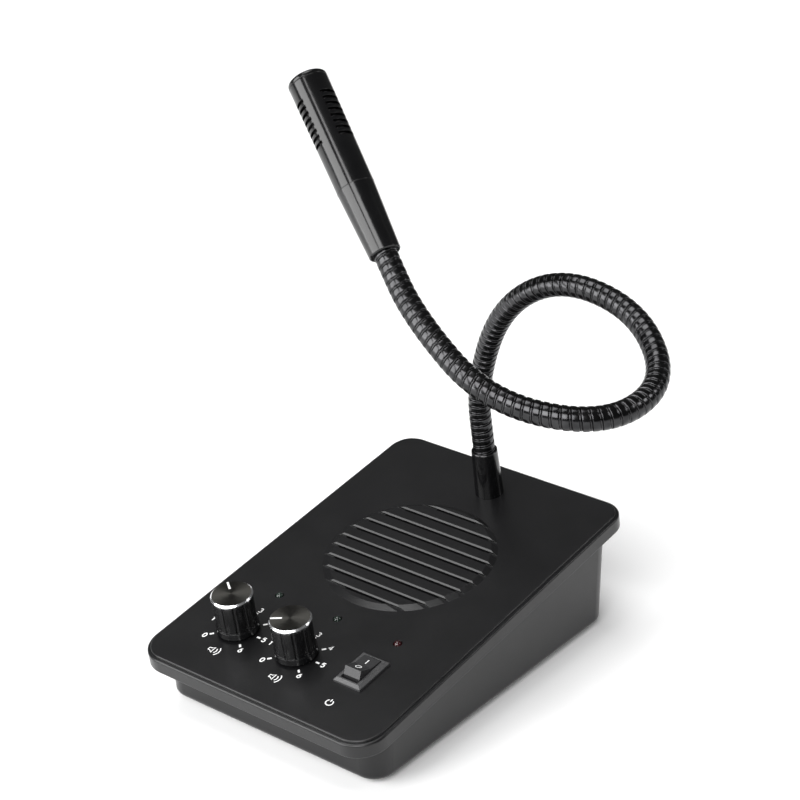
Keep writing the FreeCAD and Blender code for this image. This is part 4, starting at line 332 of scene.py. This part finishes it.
def spun_cap(name, dial):
    """A spun aluminium cap, dyed black, its bevel cut bright after dyeing: a dark face with turning lines
    that fan the light out, and a mirror ring round it."""
    face, bevel, line_pitch, line_depth = "#474643", "#E9EAEC", 0.3, 0.004
    centre = tuple(on_panel((*dial, CAP_MIDDLE_RISE)).tolist())
    material, shader, place = new_material(name, face, 0.36, Metallic=1.0, Anisotropic=0.75)
    reach = radius_from(material, place, centre)
    bright = add_node(
        material, "ShaderNodeMapRange", links={"Value": (reach, "Value")},
        values={"From Min": CAP_FACE_RADIUS * MM, "From Max": CAP_BEVEL_RADIUS * MM},
    )
    two_tones(material, shader, bright, "Result", face, bevel, 0.0, 1.0)
    spread_roughness(material, shader, bright, "Result", 0.36, 0.16)
    phase = add_node(
        material, "ShaderNodeMath", operation="MULTIPLY",
        links={0: (reach, "Value")}, values={1: 2 * math.pi / (line_pitch * MM)},
    )
    lines = add_node(material, "ShaderNodeMath", operation="SINE", links={0: (phase, "Value")})
    raise_grain(material, shader, lines, "Value", line_depth)
    outward = add_node(
        material, "ShaderNodeVectorMath", operation="SUBTRACT",
        links={0: (place, "Object")}, values={1: centre},
    )
    round_it = add_node(
        material, "ShaderNodeVectorMath", operation="CROSS_PRODUCT",
        links={1: (outward, "Vector")}, values={0: (0.0, -math.sin(PANEL_TILT), math.cos(PANEL_TILT))},
    )
    along = add_node(
        material, "ShaderNodeVectorTransform", vector_type="VECTOR", convert_from="OBJECT",
        convert_to="WORLD", links={"Vector": (round_it, "Vector")},
    )
    link(material, along, "Vector", shader, "Tangent")
    return material


def dress(material, *names):
    """CAD nodes take a material."""
    for name in names:
        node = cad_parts[name]
        if not node.material_slots:
            node.data.materials.append(material)
        for place in node.material_slots:
            place.material = material


# ------------------------------------------------------------------ surfaces
def unit(vectors):
    """Vectors at length 1."""
    return vectors / np.linalg.norm(vectors, axis=-1, keepdims=True)


def skin(points, loop=False):
    """A closed skin over a grid of points: rows follow a path and each row goes round it. Neighbours make
    quads and a row's last point joins its first. The end rows close in fans on their middles, or in a
    loop the last row joins the first."""
    rows, columns = points.shape[:2]
    number = np.arange(rows * columns).reshape(rows, columns)
    vertices = points.reshape(-1, 3)
    if loop:
        number = np.vstack((number, number[:1]))
    beside = np.roll(number, -1, axis=1)
    faces = np.stack((number[:-1], beside[:-1], beside[1:], number[1:]), -1).reshape(-1, 4)
    if not loop:
        first, last = rows * columns, rows * columns + 1
        vertices = np.vstack((vertices, points[0].mean(0), points[-1].mean(0)))
        low = np.stack((beside[0], number[0], np.full(columns, first), np.full(columns, first)), -1)
        high = np.stack((number[-1], beside[-1], np.full(columns, last), np.full(columns, last)), -1)
        faces = np.vstack((faces, low, high))
    return vertices, turned_out(vertices, faces)


def turned_out(vertices, faces):
    """The faces, turned over as a whole where the volume they close is negative: the sum over faces of
    first corner . (second x third) + first corner . (third x fourth)."""
    a, b, c, d = (vertices[faces[:, index]] for index in range(4))
    volume = (a * np.cross(b, c)).sum() + (a * np.cross(c, d)).sum()
    return faces if volume > 0 else faces[:, ::-1]


def make_piece(name, skins, material, body=None, sharp=35.0):
    """One object from several skins, in metres, smooth but for edges sharper than an angle in degrees."""
    offsets = np.cumsum([0] + [len(vertices) for vertices, faces in skins[:-1]])
    vertices = np.vstack([vertices for vertices, faces in skins])
    faces = np.vstack([faces + offset for (points, faces), offset in zip(skins, offsets)])
    corners = [list(dict.fromkeys(face)) for face in faces.tolist()]
    mesh = bpy.data.meshes.new(name)
    mesh.from_pydata(vertices.tolist(), [], corners)
    mesh.validate()
    mesh.polygons.foreach_set("use_smooth", np.ones(len(mesh.polygons), bool))
    mesh.set_sharp_from_angle(angle=math.radians(sharp))
    mesh.materials.append(material)
    piece = bpy.data.objects.new(name, mesh)
    bpy.context.scene.collection.objects.link(piece)
    if body:
        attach(piece, body)
    return piece


def on_panel(points):
    """Points given in mm to the right, up the slope and out of the panel, as points of the frame."""
    right, up, out = np.moveaxis(np.asarray(points, float), -1, 0)
    back = up * math.cos(PANEL_TILT) - out * math.sin(PANEL_TILT)
    height = PANEL_HEIGHT + up * math.sin(PANEL_TILT) + out * math.cos(PANEL_TILT)
    return np.stack((right, back, height), -1) * MM


# ------------------------------------------------------------------ printed marks
def stroke(line, width, low, high, closed=False):
    """A flat stroke of ink: a rectangle carried along a line of points in its plane. At each point the
    rectangle spreads half the width to both sides of the line's direction there."""
    line = np.asarray(line, float)
    if closed:
        ahead, behind = np.roll(line, -1, axis=0), np.roll(line, 1, axis=0)
    else:
        ahead = np.vstack((line[1:], line[-1:]))
        behind = np.vstack((line[:1], line[:-1]))
    run = unit(ahead - behind)
    side = np.stack((-run[:, 1], run[:, 0]), -1) * width / 2
    left, right = line + side, line - side
    grid = np.empty((len(line), 4, 3))
    grid[:, (0, 1), :2] = left[:, None]
    grid[:, (2, 3), :2] = right[:, None]
    grid[:, (0, 3), 2] = high
    grid[:, (1, 2), 2] = low
    return grid


def arc(centre, radius_x, radius_y, start, end, count=18):
    """Points of an ellipse from one angle to another, in degrees anticlockwise from its right."""
    angle = np.radians(np.linspace(start, end, count))
    return np.stack((centre[0] + radius_x * np.cos(angle), centre[1] + radius_y * np.sin(angle)), -1)


def numeral_lines():
    """The numerals 0 to 6, each as lines of points in a box 1 wide and 1.6 high round its middle."""
    ring = arc((0, 0), 0.5, 0.8, 0, 340, 24)
    return {
        0: [(ring, True)],
        1: [(np.array([(-0.3, 0.45), (0.08, 0.8), (0.08, -0.8)]), False)],
        2: [(np.vstack((arc((0, 0.33), 0.48, 0.47, 160, -30), [(-0.5, -0.8), (0.55, -0.8)])), False)],
        3: [(np.vstack((arc((0, 0.4), 0.42, 0.4, 150, -80), arc((0, -0.38), 0.5, 0.42, 80, -150))), False)],
        4: [(np.array([(0.25, -0.8), (0.25, 0.8), (-0.55, -0.3), (0.6, -0.3)]), False)],
        5: [(np.vstack((
            [(0.45, 0.8), (-0.38, 0.8), (-0.45, 0.08)], arc((0, -0.27), 0.48, 0.53, 130, -150),
        )), False)],
        6: [(arc((0, -0.3), 0.48, 0.5, 0, 340, 20), True),
            (np.array([(0.28, 0.8), (-0.1, 0.5), (-0.4, 0.05), (-0.48, -0.3)]), False)],
    }


def marks(lines, width, place=on_panel, low=INK_LOW, high=INK_HIGH):
    """Skins for a set of ink lines, each a pair of points and whether it closes on itself."""
    skins = []
    for line, closed in lines:
        vertices, faces = skin(stroke(line, width, low, high, closed), closed)
        vertices = place(vertices)
        skins.append((vertices, turned_out(vertices, faces)))
    return skins


def clockwise(turn):
    """The direction on the panel at a turn in degrees, clockwise from the back."""
    return np.array((math.sin(math.radians(turn)), math.cos(math.radians(turn))))


def dial_marks(middle):
    """A dial's ticks and numerals 0 to 6, one every eighth of a turn, clockwise from front left."""
    first_turn, next_turn = -135.0, 45.0
    tick_ends, numeral_reach, numeral_width = (8.75, 10.3), 12.0, 1.25
    ticks = []
    digits = []
    for number, lines in numeral_lines().items():
        way = clockwise(first_turn + next_turn * number)
        ticks.append((middle + np.outer(tick_ends, way), False))
        at = middle + numeral_reach * way
        digits.extend((at + line * numeral_width, closed) for line, closed in lines)
    return marks(ticks, width=0.75) + marks(digits, width=0.44)


def louder_sign(middle):
    """The usual sign for loudness: a small loudspeaker, and two waves that grow to its right."""
    horn = np.array([(-1.0, 0.6), (-0.1, 0.6), (0.9, 1.5), (0.9, -1.5), (-0.1, -0.6), (-1.0, -0.6)])
    mouth = (0.9, 0.0)
    to_the_left = (1.2, 0.0)
    waves = [(arc(mouth, size, size, 48, -48, 10), False) for size in (1.5, 2.7)]
    lines = [(horn, True)] + waves
    return marks([(line + middle - to_the_left, closed) for line, closed in lines], width=0.4)


def power_sign(middle):
    """The usual sign for standby: an open ring with a bar in its gap."""
    ring = arc((0, 0), 1.35, 1.35, 125, 415, 26)
    bar = np.array([(0, 0.5), (0, 1.75)])
    return marks([(ring + middle, False), (bar + middle, False)], width=0.4)


def pointer(dial, turn):
    """A knob's white line, set in its cap's face, at a turn in degrees clockwise from the back."""
    line_ends = (2.8, 6.95)
    line = dial + np.outer(line_ends, clockwise(turn))
    return marks([(line, False)], width=0.75, low=CAP_FACE_RISE - 0.02, high=CAP_FACE_RISE + 0.03)


def on_rocker(points):
    """Points given in mm across and along the rocker from its middle and out of its top, as points of the
    frame. The top is two planes that fall from each end to the middle, turned about the pivot."""
    across, along, out = np.moveaxis(np.asarray(points, float), -1, 0)
    turn = PANEL_TILT - ROCKER_TILT
    height = ROCKER_MIDDLE_RISE + (ROCKER_END_RISE - ROCKER_MIDDLE_RISE) * np.abs(along) / ROCKER_HALF + out
    back = along * math.cos(turn) - height * math.sin(turn)
    up = along * math.sin(turn) + height * math.cos(turn)
    return (np.stack((across, back, up), -1) + ROCKER_PIVOT) * MM


def rocker_marks():
    """The ring for off on the rocker's front half, and the bar for on on its rear half."""
    off_ring = (arc((0.0, -2.25), 1.0, 1.0, 0, 345, 24), True)
    on_bar = (np.array([(0.0, 1.2), (0.0, 3.4)]), False)
    return marks([off_ring, on_bar], width=0.36, place=on_rocker, low=-0.03, high=0.04)


# ------------------------------------------------------------------ gooseneck
def neck_line():
    """The gooseneck's middle line in mm: straight to the first pivot, a parabola round every bend from
    one pivot to the next, (1-t)^2 a + 2t(1-t) corner + t^2 b, and straight on to the microphone.
    Returns its points, and how many of them lie before each pivot."""
    pivots = (NECK_CORNERS[:-1] + NECK_CORNERS[1:]) / 2
    t = np.linspace(0, 1, BEND_STEPS + 1)[None, :-1, None]
    a, corner, b = pivots[:-1, None], NECK_CORNERS[1:-1, None], pivots[1:, None]
    bends = ((1 - t) ** 2 * a + 2 * t * (1 - t) * corner + t ** 2 * b).reshape(-1, 3)
    t = np.linspace(0, 1, STRAIGHT_STEPS + 1)[:, None]
    start = NECK_CORNERS[0] + (NECK_CORNERS[0] - pivots[0]) * INTO_BOOT
    first = start + (pivots[0] - start) * t[:-1]
    end = NECK_CORNERS[-1] + (NECK_CORNERS[-1] - pivots[-1]) * INTO_MICROPHONE
    last = pivots[-1] + (end - pivots[-1]) * t
    return np.vstack((first, bends, last)), STRAIGHT_STEPS + BEND_STEPS * np.arange(len(pivots))


def groove(share, place, width, depth):
    """A rounded groove round the hose at a place in its turn: depth x e^-((share - place) / width)^2."""
    return depth * np.exp(-((share - place) / width) ** 2)


def hose_radius(turns):
    """The radius of a steel strip hose against turns along its strip. Each turn is a wide flat band with
    rolled edges, 0.03 x^2 + 0.09 x^8 below the crest and 0.2 at most, and a narrow lower lip,
    0.17 + 0.05 y^2 below it and 0.25 at most. x and y run from -1 to 1 over each. Grooves part them."""
    crest = NECK_RADIUS - 0.02
    band_end, turn_end = 0.755, 0.99
    share = turns - np.floor(turns)
    x = (share - 0.37) / 0.37
    y = (share - 0.87) / 0.1
    band = np.minimum(0.03 * x ** 2 + 0.09 * x ** 8, 0.2)
    lip = np.minimum(0.17 + 0.05 * y ** 2, 0.25)
    grooves = groove(share, band_end, 0.035, 0.30)
    grooves = grooves + groove(share, turn_end, 0.025, 0.22) + groove(share, turn_end - 1.0, 0.025, 0.22)
    return crest - np.where(share < band_end, band, lip) - grooves


def gooseneck(material):
    """Nine lengths of hose, each across one pivot, from the middle of one bend to the middle of the next.
    A round profile, whose radius follows the strip's helix, is carried along the middle line. Its axes
    are the line's direction and the cross products of that with one steady direction."""
    line, before_pivot = neck_line()
    steps = np.linalg.norm(np.diff(line, axis=0), axis=1)
    along = np.concatenate(([0], np.cumsum(steps)))
    inner_cuts = [along[index + BEND_STEPS // 2] for index in before_pivot[:-1]]
    cuts = [0.0, *inner_cuts, along[-1]]
    round_it = np.linspace(0, 2 * math.pi, RING_POINTS + 1)[None, :-1, None]

    def on_line(at):
        """Points of the middle line at distances along it."""
        return np.stack([np.interp(at, along, line[:, axis]) for axis in range(3)], -1)

    for number, (start, end) in enumerate(zip(cuts, cuts[1:])):
        at = np.linspace(start, end, math.ceil((end - start) / RING_SPACING) + 1)
        way = unit(on_line(at + DIRECTION_REACH) - on_line(at - DIRECTION_REACH))
        side = unit(np.cross(way, STEADY))
        other = np.cross(way, side)
        ring = side[:, None] * np.cos(round_it) + other[:, None] * np.sin(round_it)
        radius = hose_radius(at[:, None, None] / NECK_PITCH - round_it / (2 * math.pi))
        points = (on_line(at)[:, None] + radius * ring) * MM
        piece = make_piece(f"gooseneck_{number + 1}", [skin(points)], material, sharp=60.0)
        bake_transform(piece)
        if number == 0:
            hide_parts("neck_root")
        elif number == 8:
            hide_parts("neck_link_8", "neck_tip")
        else:
            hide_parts(f"neck_link_{number}")


def seam_lip(material):
    """The rolled edge where the microphone's tube meets its adapter: a circle of LIP_RADIUS carried round
    the axis at the adapter's length from the foot, its middle LIP_DEPTH under the seam's surface."""
    foot = NECK_CORNERS[-1]
    axis = unit(foot - NECK_CORNERS[-2])
    side = unit(np.cross(axis, (0.0, 0.0, 1.0)))
    turn = np.linspace(0, 2 * math.pi, 97)[:-1, None, None]
    outward = np.cos(turn) * side + np.sin(turn) * np.cross(axis, side)
    round_it = np.linspace(0, 2 * math.pi, 13)[None, :-1, None]
    along = ADAPTER_LENGTH + LIP_RADIUS * np.sin(round_it)
    radius = SEAM_RADIUS - LIP_DEPTH + LIP_RADIUS * np.cos(round_it)
    points = (foot + axis * along + outward * radius) * MM
    make_piece("microphone_seam_lip", [skin(points, loop=True)], material, "microphone")


# ------------------------------------------------------------------ finishes
def finish_case():
    """The case, its feet and its fasteners."""
    # ABS, moulded against a fine spark-eroded tool: soft charcoal with a dry shine and visible grain
    case = spark_grain(
        "case_abs_spark_grain", "#0D0D0E", "#121213", 0.31, 0.42, 0.014, 0.18, Specular_IOR_Level=0.47,
    )
    dress(case, "top_cover", "lower_case")
    # Nitrile rubber, moulded: flat black with a dusty bloom
    rubber = spark_grain("feet_rubber_moulded", "#141414", "#202020", 0.82, 0.6, 0.02, 0.3)
    dress(rubber, "rubber_feet")
    # Steel, zinc plated: pale blue grey with turning lines
    zinc = rolled_metal("screws_zinc_plated_steel", "#8D9194", "#C3C6C8", 0.3, 0.35, (1.0, 1.0, 0.2), 0.1)
    dress(zinc, "case_screws", "speaker_screws", "control_board_screws", "amplifier_board_screws")
    # Polyester cloth, woven: near black, seen only as a dark grid in the slots
    cloth = woven("grille_polyester_weave", "#050505", "#1C1C1D", 0.9, 0.5, 0.1, Sheen_Weight=0.3)
    dress(cloth, "grille_cloth")


def finish_speaker():
    """The loudspeaker under the grille."""
    # Sheet steel, pressed and zinc plated: yellowish grey, with drawing streaks
    steel = rolled_metal(
        "speaker_zinc_plated_sheet", "#8C8A7E", "#B9B7AA", 0.36, 0.5, (1.0, 1.0, 0.15), 0.15,
    )
    dress(steel, "speaker_frame", "speaker_top_plate", "speaker_yoke")
    # Paper pulp, pressed: felt-like black with loose fibres
    paper = spark_grain("cone_pressed_paper", "#141312", "#2A2826", 0.88, 0.7, 0.05, None)
    dress(paper, "speaker_cone", "speaker_dust_cap")
    # Copper, enamelled wire: fine bright turns
    copper = rolled_metal("coil_enamelled_copper", "#8A4B25", "#C97B47", 0.25, 0.25, (0.1, 0.1, 1.0), None)
    dress(copper, "speaker_voice_coil")
    # Ferrite, sintered and ground: dull grey black, a little metallic
    ferrite = spark_grain("magnet_ground_ferrite", "#242426", "#3A3A3D", 0.5, 0.5, 0.03, 0.3)
    dress(ferrite, "speaker_magnet")


def finish_controls():
    """Knobs, dials, lamps and the switch."""
    # ABS, moulded in a polished tool: deep black that mirrors softly in its flutes
    knob = smooth_gloss("knob_abs_polished", "#0A0A0B", "#111112", 0.2, 2.5, 0.015, 0.2, IOR=1.52)
    dress(knob, "inner_volume_knob", "outer_volume_knob")
    dress(spun_cap("inner_cap_spun_aluminium", INNER_DIAL), "inner_volume_cap")
    dress(spun_cap("outer_cap_spun_aluminium", OUTER_DIAL), "outer_volume_cap")
    # Steel, nickel plated: bright and slightly warm
    nickel = rolled_metal("nuts_nickel_plated_steel", "#A09C92", "#D8D4CA", 0.2, 0.4, (1.0, 1.0, 0.3), 0.1)
    dress(nickel, "inner_volume_nut", "outer_volume_nut", "inner_volume_pot", "outer_volume_pot")
    # Aluminium, turned: pale grey with fine rings
    shaft = rolled_metal("shafts_turned_aluminium", "#A9ABAE", "#D5D6D8", 0.28, 0.3, (0.2, 0.2, 1.0), 0.1)
    dress(shaft, "inner_volume_shaft", "outer_volume_shaft")
    # Epoxy, cast clear with a green tint: a dark well with one small bright spot
    clear = smooth_gloss(
        "lamp_epoxy_clear_green", "#27332D", "#3C4A43", 0.06, 1.0, 0.01, None,
        Transmission_Weight=0.55, IOR=1.54,
    )
    dress(clear, "inner_lamp", "outer_lamp")
    # Epoxy, cast with red dye: dark wine red when it isn't lit
    red = smooth_gloss(
        "lamp_epoxy_red", "#2C080C", "#4A1218", 0.06, 1.0, 0.01, None,
        Transmission_Weight=0.35, IOR=1.54,
    )
    dress(red, "power_lamp")
    # Nylon, moulded with glass fibre: dark grey, a satin surface with fine fibre marks
    nylon = spark_grain("bezel_nylon_satin", "#333334", "#414142", 0.42, 0.4, 0.03, 0.2)
    dress(nylon, "rocker_bezel")
    # Nylon, moulded smooth: dark grey with a broad soft shine
    rocker = spark_grain("rocker_nylon_smooth", "#262627", "#2F2F30", 0.38, 0.35, 0.012, 0.25)
    dress(rocker, "rocker_button")
    # Brass, tinned: pale yellow grey blades
    brass = rolled_metal("terminals_tinned_brass", "#A8904E", "#D9C68D", 0.3, 0.4, (1.0, 1.0, 0.2), 0.1)
    dress(brass, "switch_terminals")


def finish_electronics():
    """Boards, parts on them, sockets and leads."""
    # Glass epoxy under a green solder mask: clear lacquer over a weave, tracks as paler lines
    board, shader, place = new_material(
        "boards_glass_epoxy_green", "#0B4A24", 0.3, IOR=1.55, Coat_Weight=0.4,
    )
    tracks = add_node(
        board, "ShaderNodeTexBrick", links={"Vector": (place, "Object")}, offset=0.37,
        values={
            "Scale": 1.0 / (7.0 * MM), "Mortar Size": 0.05, "Brick Width": 0.9, "Row Height": 0.31,
            "Color1": linear("#0B4A24"), "Color2": linear("#0D5129"), "Mortar": linear("#2C8A52"),
        },
    )
    link(board, tracks, "Color", shader, "Base Color")
    raise_grain(board, shader, tracks, "Fac", 0.03)
    dress(board, "control_board", "amplifier_board")
    # Epoxy, moulded round a chip: flat dark grey with fine grit
    chip = spark_grain("chip_moulded_epoxy", "#161617", "#242425", 0.62, 0.3, 0.02, 0.15)
    dress(chip, "amplifier_chip")
    # PVC sleeve shrunk on a can: dark blue and glossy
    sleeve = smooth_gloss("capacitors_pvc_sleeve", "#10163A", "#1B2350", 0.25, 3.0, 0.03, 0.3, IOR=1.53)
    dress(sleeve, "capacitors")
    # Nylon, moulded: black with a satin face and a darker mouth
    socket = spark_grain("sockets_nylon_moulded", "#101011", "#1A1A1B", 0.4, 0.4, 0.02, 0.2)
    dress(socket, "power_inlet", "outside_unit_socket")
    # PVC, extruded: bright red and slightly waxy
    wire = smooth_gloss("wires_pvc_red", "#7A1218", "#94202A", 0.4, 2.0, 0.02, None, IOR=1.53)
    dress(wire, "hookup_wires")
    # PVC, extruded flat: light grey with a rib for each core, the grooves between ribs darkened as painted
    # shade and the crests lightened as painted highlight
    ribbon, shader, place = new_material("ribbon_pvc_grey", "#8E9094", 0.5, IOR=1.53)
    ribs = add_node(
        ribbon, "ShaderNodeTexWave", bands_direction="X", wave_profile="SIN",
        links={"Vector": (place, "Object")}, values={"Scale": WAVE_LENGTH / (1.27 * MM)},
    )
    # Painted shade and painted highlight: the tone follows the ribs' height, darker in the grooves and
    # lighter on the crests
    two_tones(ribbon, shader, ribs, "Fac", "#6F7175", "#A3A5A9", 0.2, 0.8)
    raise_grain(ribbon, shader, ribs, "Fac", 0.3)
    dress(ribbon, "ribbon_cable")
    # Rubber, extruded: flat black
    lead = spark_grain("lead_rubber_extruded", "#121212", "#1E1E1E", 0.7, 0.5, 0.02, None)
    dress(lead, "microphone_lead")


def finish_neck_and_microphone():
    """Boot, gooseneck and microphone."""
    # Soft PVC, moulded glossy: black with a slow ripple
    boot = smooth_gloss("boot_pvc_glossy", "#070708", "#0C0C0D", 0.15, 4.0, 0.03, 0.3, IOR=1.5)
    dress(boot, "neck_boot")
    dress(boot, "neck_socket", "neck_nut")
    # Steel strip, wound and black nickel plated: dark mirror bands with thin bright lips
    hose, shader, place = new_material("gooseneck_black_nickel_steel", "#3A3A3B", 0.2, Metallic=1.0)
    smears = add_node(
        hose, "ShaderNodeTexNoise", links={"Vector": (place, "Object")},
        values={"Scale": 1.0 / (4.0 * MM), "Detail": 1.5, "Roughness": 0.5},
    )
    two_tones(hose, shader, smears, "Fac", "#343435", "#424243", 0.3, 0.7)
    spread_roughness(hose, shader, smears, "Fac", 0.14, 0.24)
    raise_grain(hose, shader, smears, "Fac", 0.01)
    gooseneck(hose)
    # Brass tube, sprayed gloss black: long clean reflections with a trace of orange peel
    lacquer = smooth_gloss(
        "microphone_gloss_black_lacquer", "#070708", "#0C0C0D", 0.13, 2.2, 0.012, 0.25, IOR=1.47,
    )
    dress(lacquer, "microphone_adapter", "microphone_tube", "microphone_cap")
    seam_lip(lacquer)
    # Steel wire cloth, blackened: a fine dark mesh
    mesh = woven("microphone_steel_wire_cloth", "#0A0A0A", "#6B6B6C", 0.45, 0.45, 0.15, Metallic=0.8)
    dress(mesh, "microphone_screen")
    # Aluminium can, pressed: bright grey
    can = rolled_metal("capsule_pressed_aluminium", "#A5A7AA", "#DADBDD", 0.25, 0.5, (1.0, 1.0, 0.2), 0.1)
    dress(can, "microphone_capsule")


def print_marks():
    """Everything that is printed on the panel, the knobs and the rocker."""
    # Ink, pad printed: matt white, a little uneven at its edge
    ink = spark_grain("ink_white_pad_printed", "#DADBDB", "#F4F4F3", 0.55, 0.3, 0.01, None)
    make_piece("inner_dial_marks", dial_marks(INNER_DIAL), ink, CASE)
    make_piece("outer_dial_marks", dial_marks(OUTER_DIAL), ink, CASE)
    make_piece("inner_volume_sign", louder_sign(INNER_SIGN), ink, CASE)
    make_piece("outer_volume_sign", louder_sign(OUTER_SIGN), ink, CASE)
    make_piece("power_sign", power_sign(POWER_SIGN), ink, CASE)
    make_piece("inner_volume_pointer", pointer(INNER_DIAL, INNER_TURN), ink, "inner_volume")
    make_piece("outer_volume_pointer", pointer(OUTER_DIAL, OUTER_TURN), ink, "outer_volume")
    make_piece("rocker_marks", rocker_marks(), ink, "rocker")


def make_floor():
    """A plain pale floor."""
    paper, shader, place = new_material("floor_matt_white", "#F8F8F8", 0.9)
    tooth = add_node(
        paper, "ShaderNodeTexNoise", links={"Vector": (place, "Object")}, values={"Scale": 900.0},
    )
    raise_grain(paper, shader, tooth, "Fac", 0.01)
    mesh = bpy.data.meshes.new("floor")
    half = 6.0
    corners = [(-half, -half, 0), (half, -half, 0), (half, half, 0), (-half, half, 0)]
    mesh.from_pydata(corners, [], [(0, 1, 2, 3)])
    mesh.materials.append(paper)
    floor = bpy.data.objects.new("floor", mesh)
    bpy.context.scene.collection.objects.link(floor)


make_camera()
make_light()
make_floor()
finish_case()
finish_speaker()
finish_controls()
finish_electronics()
finish_neck_and_microphone()
print_marks()
bpy.context.scene.view_settings.view_transform = "Standard"
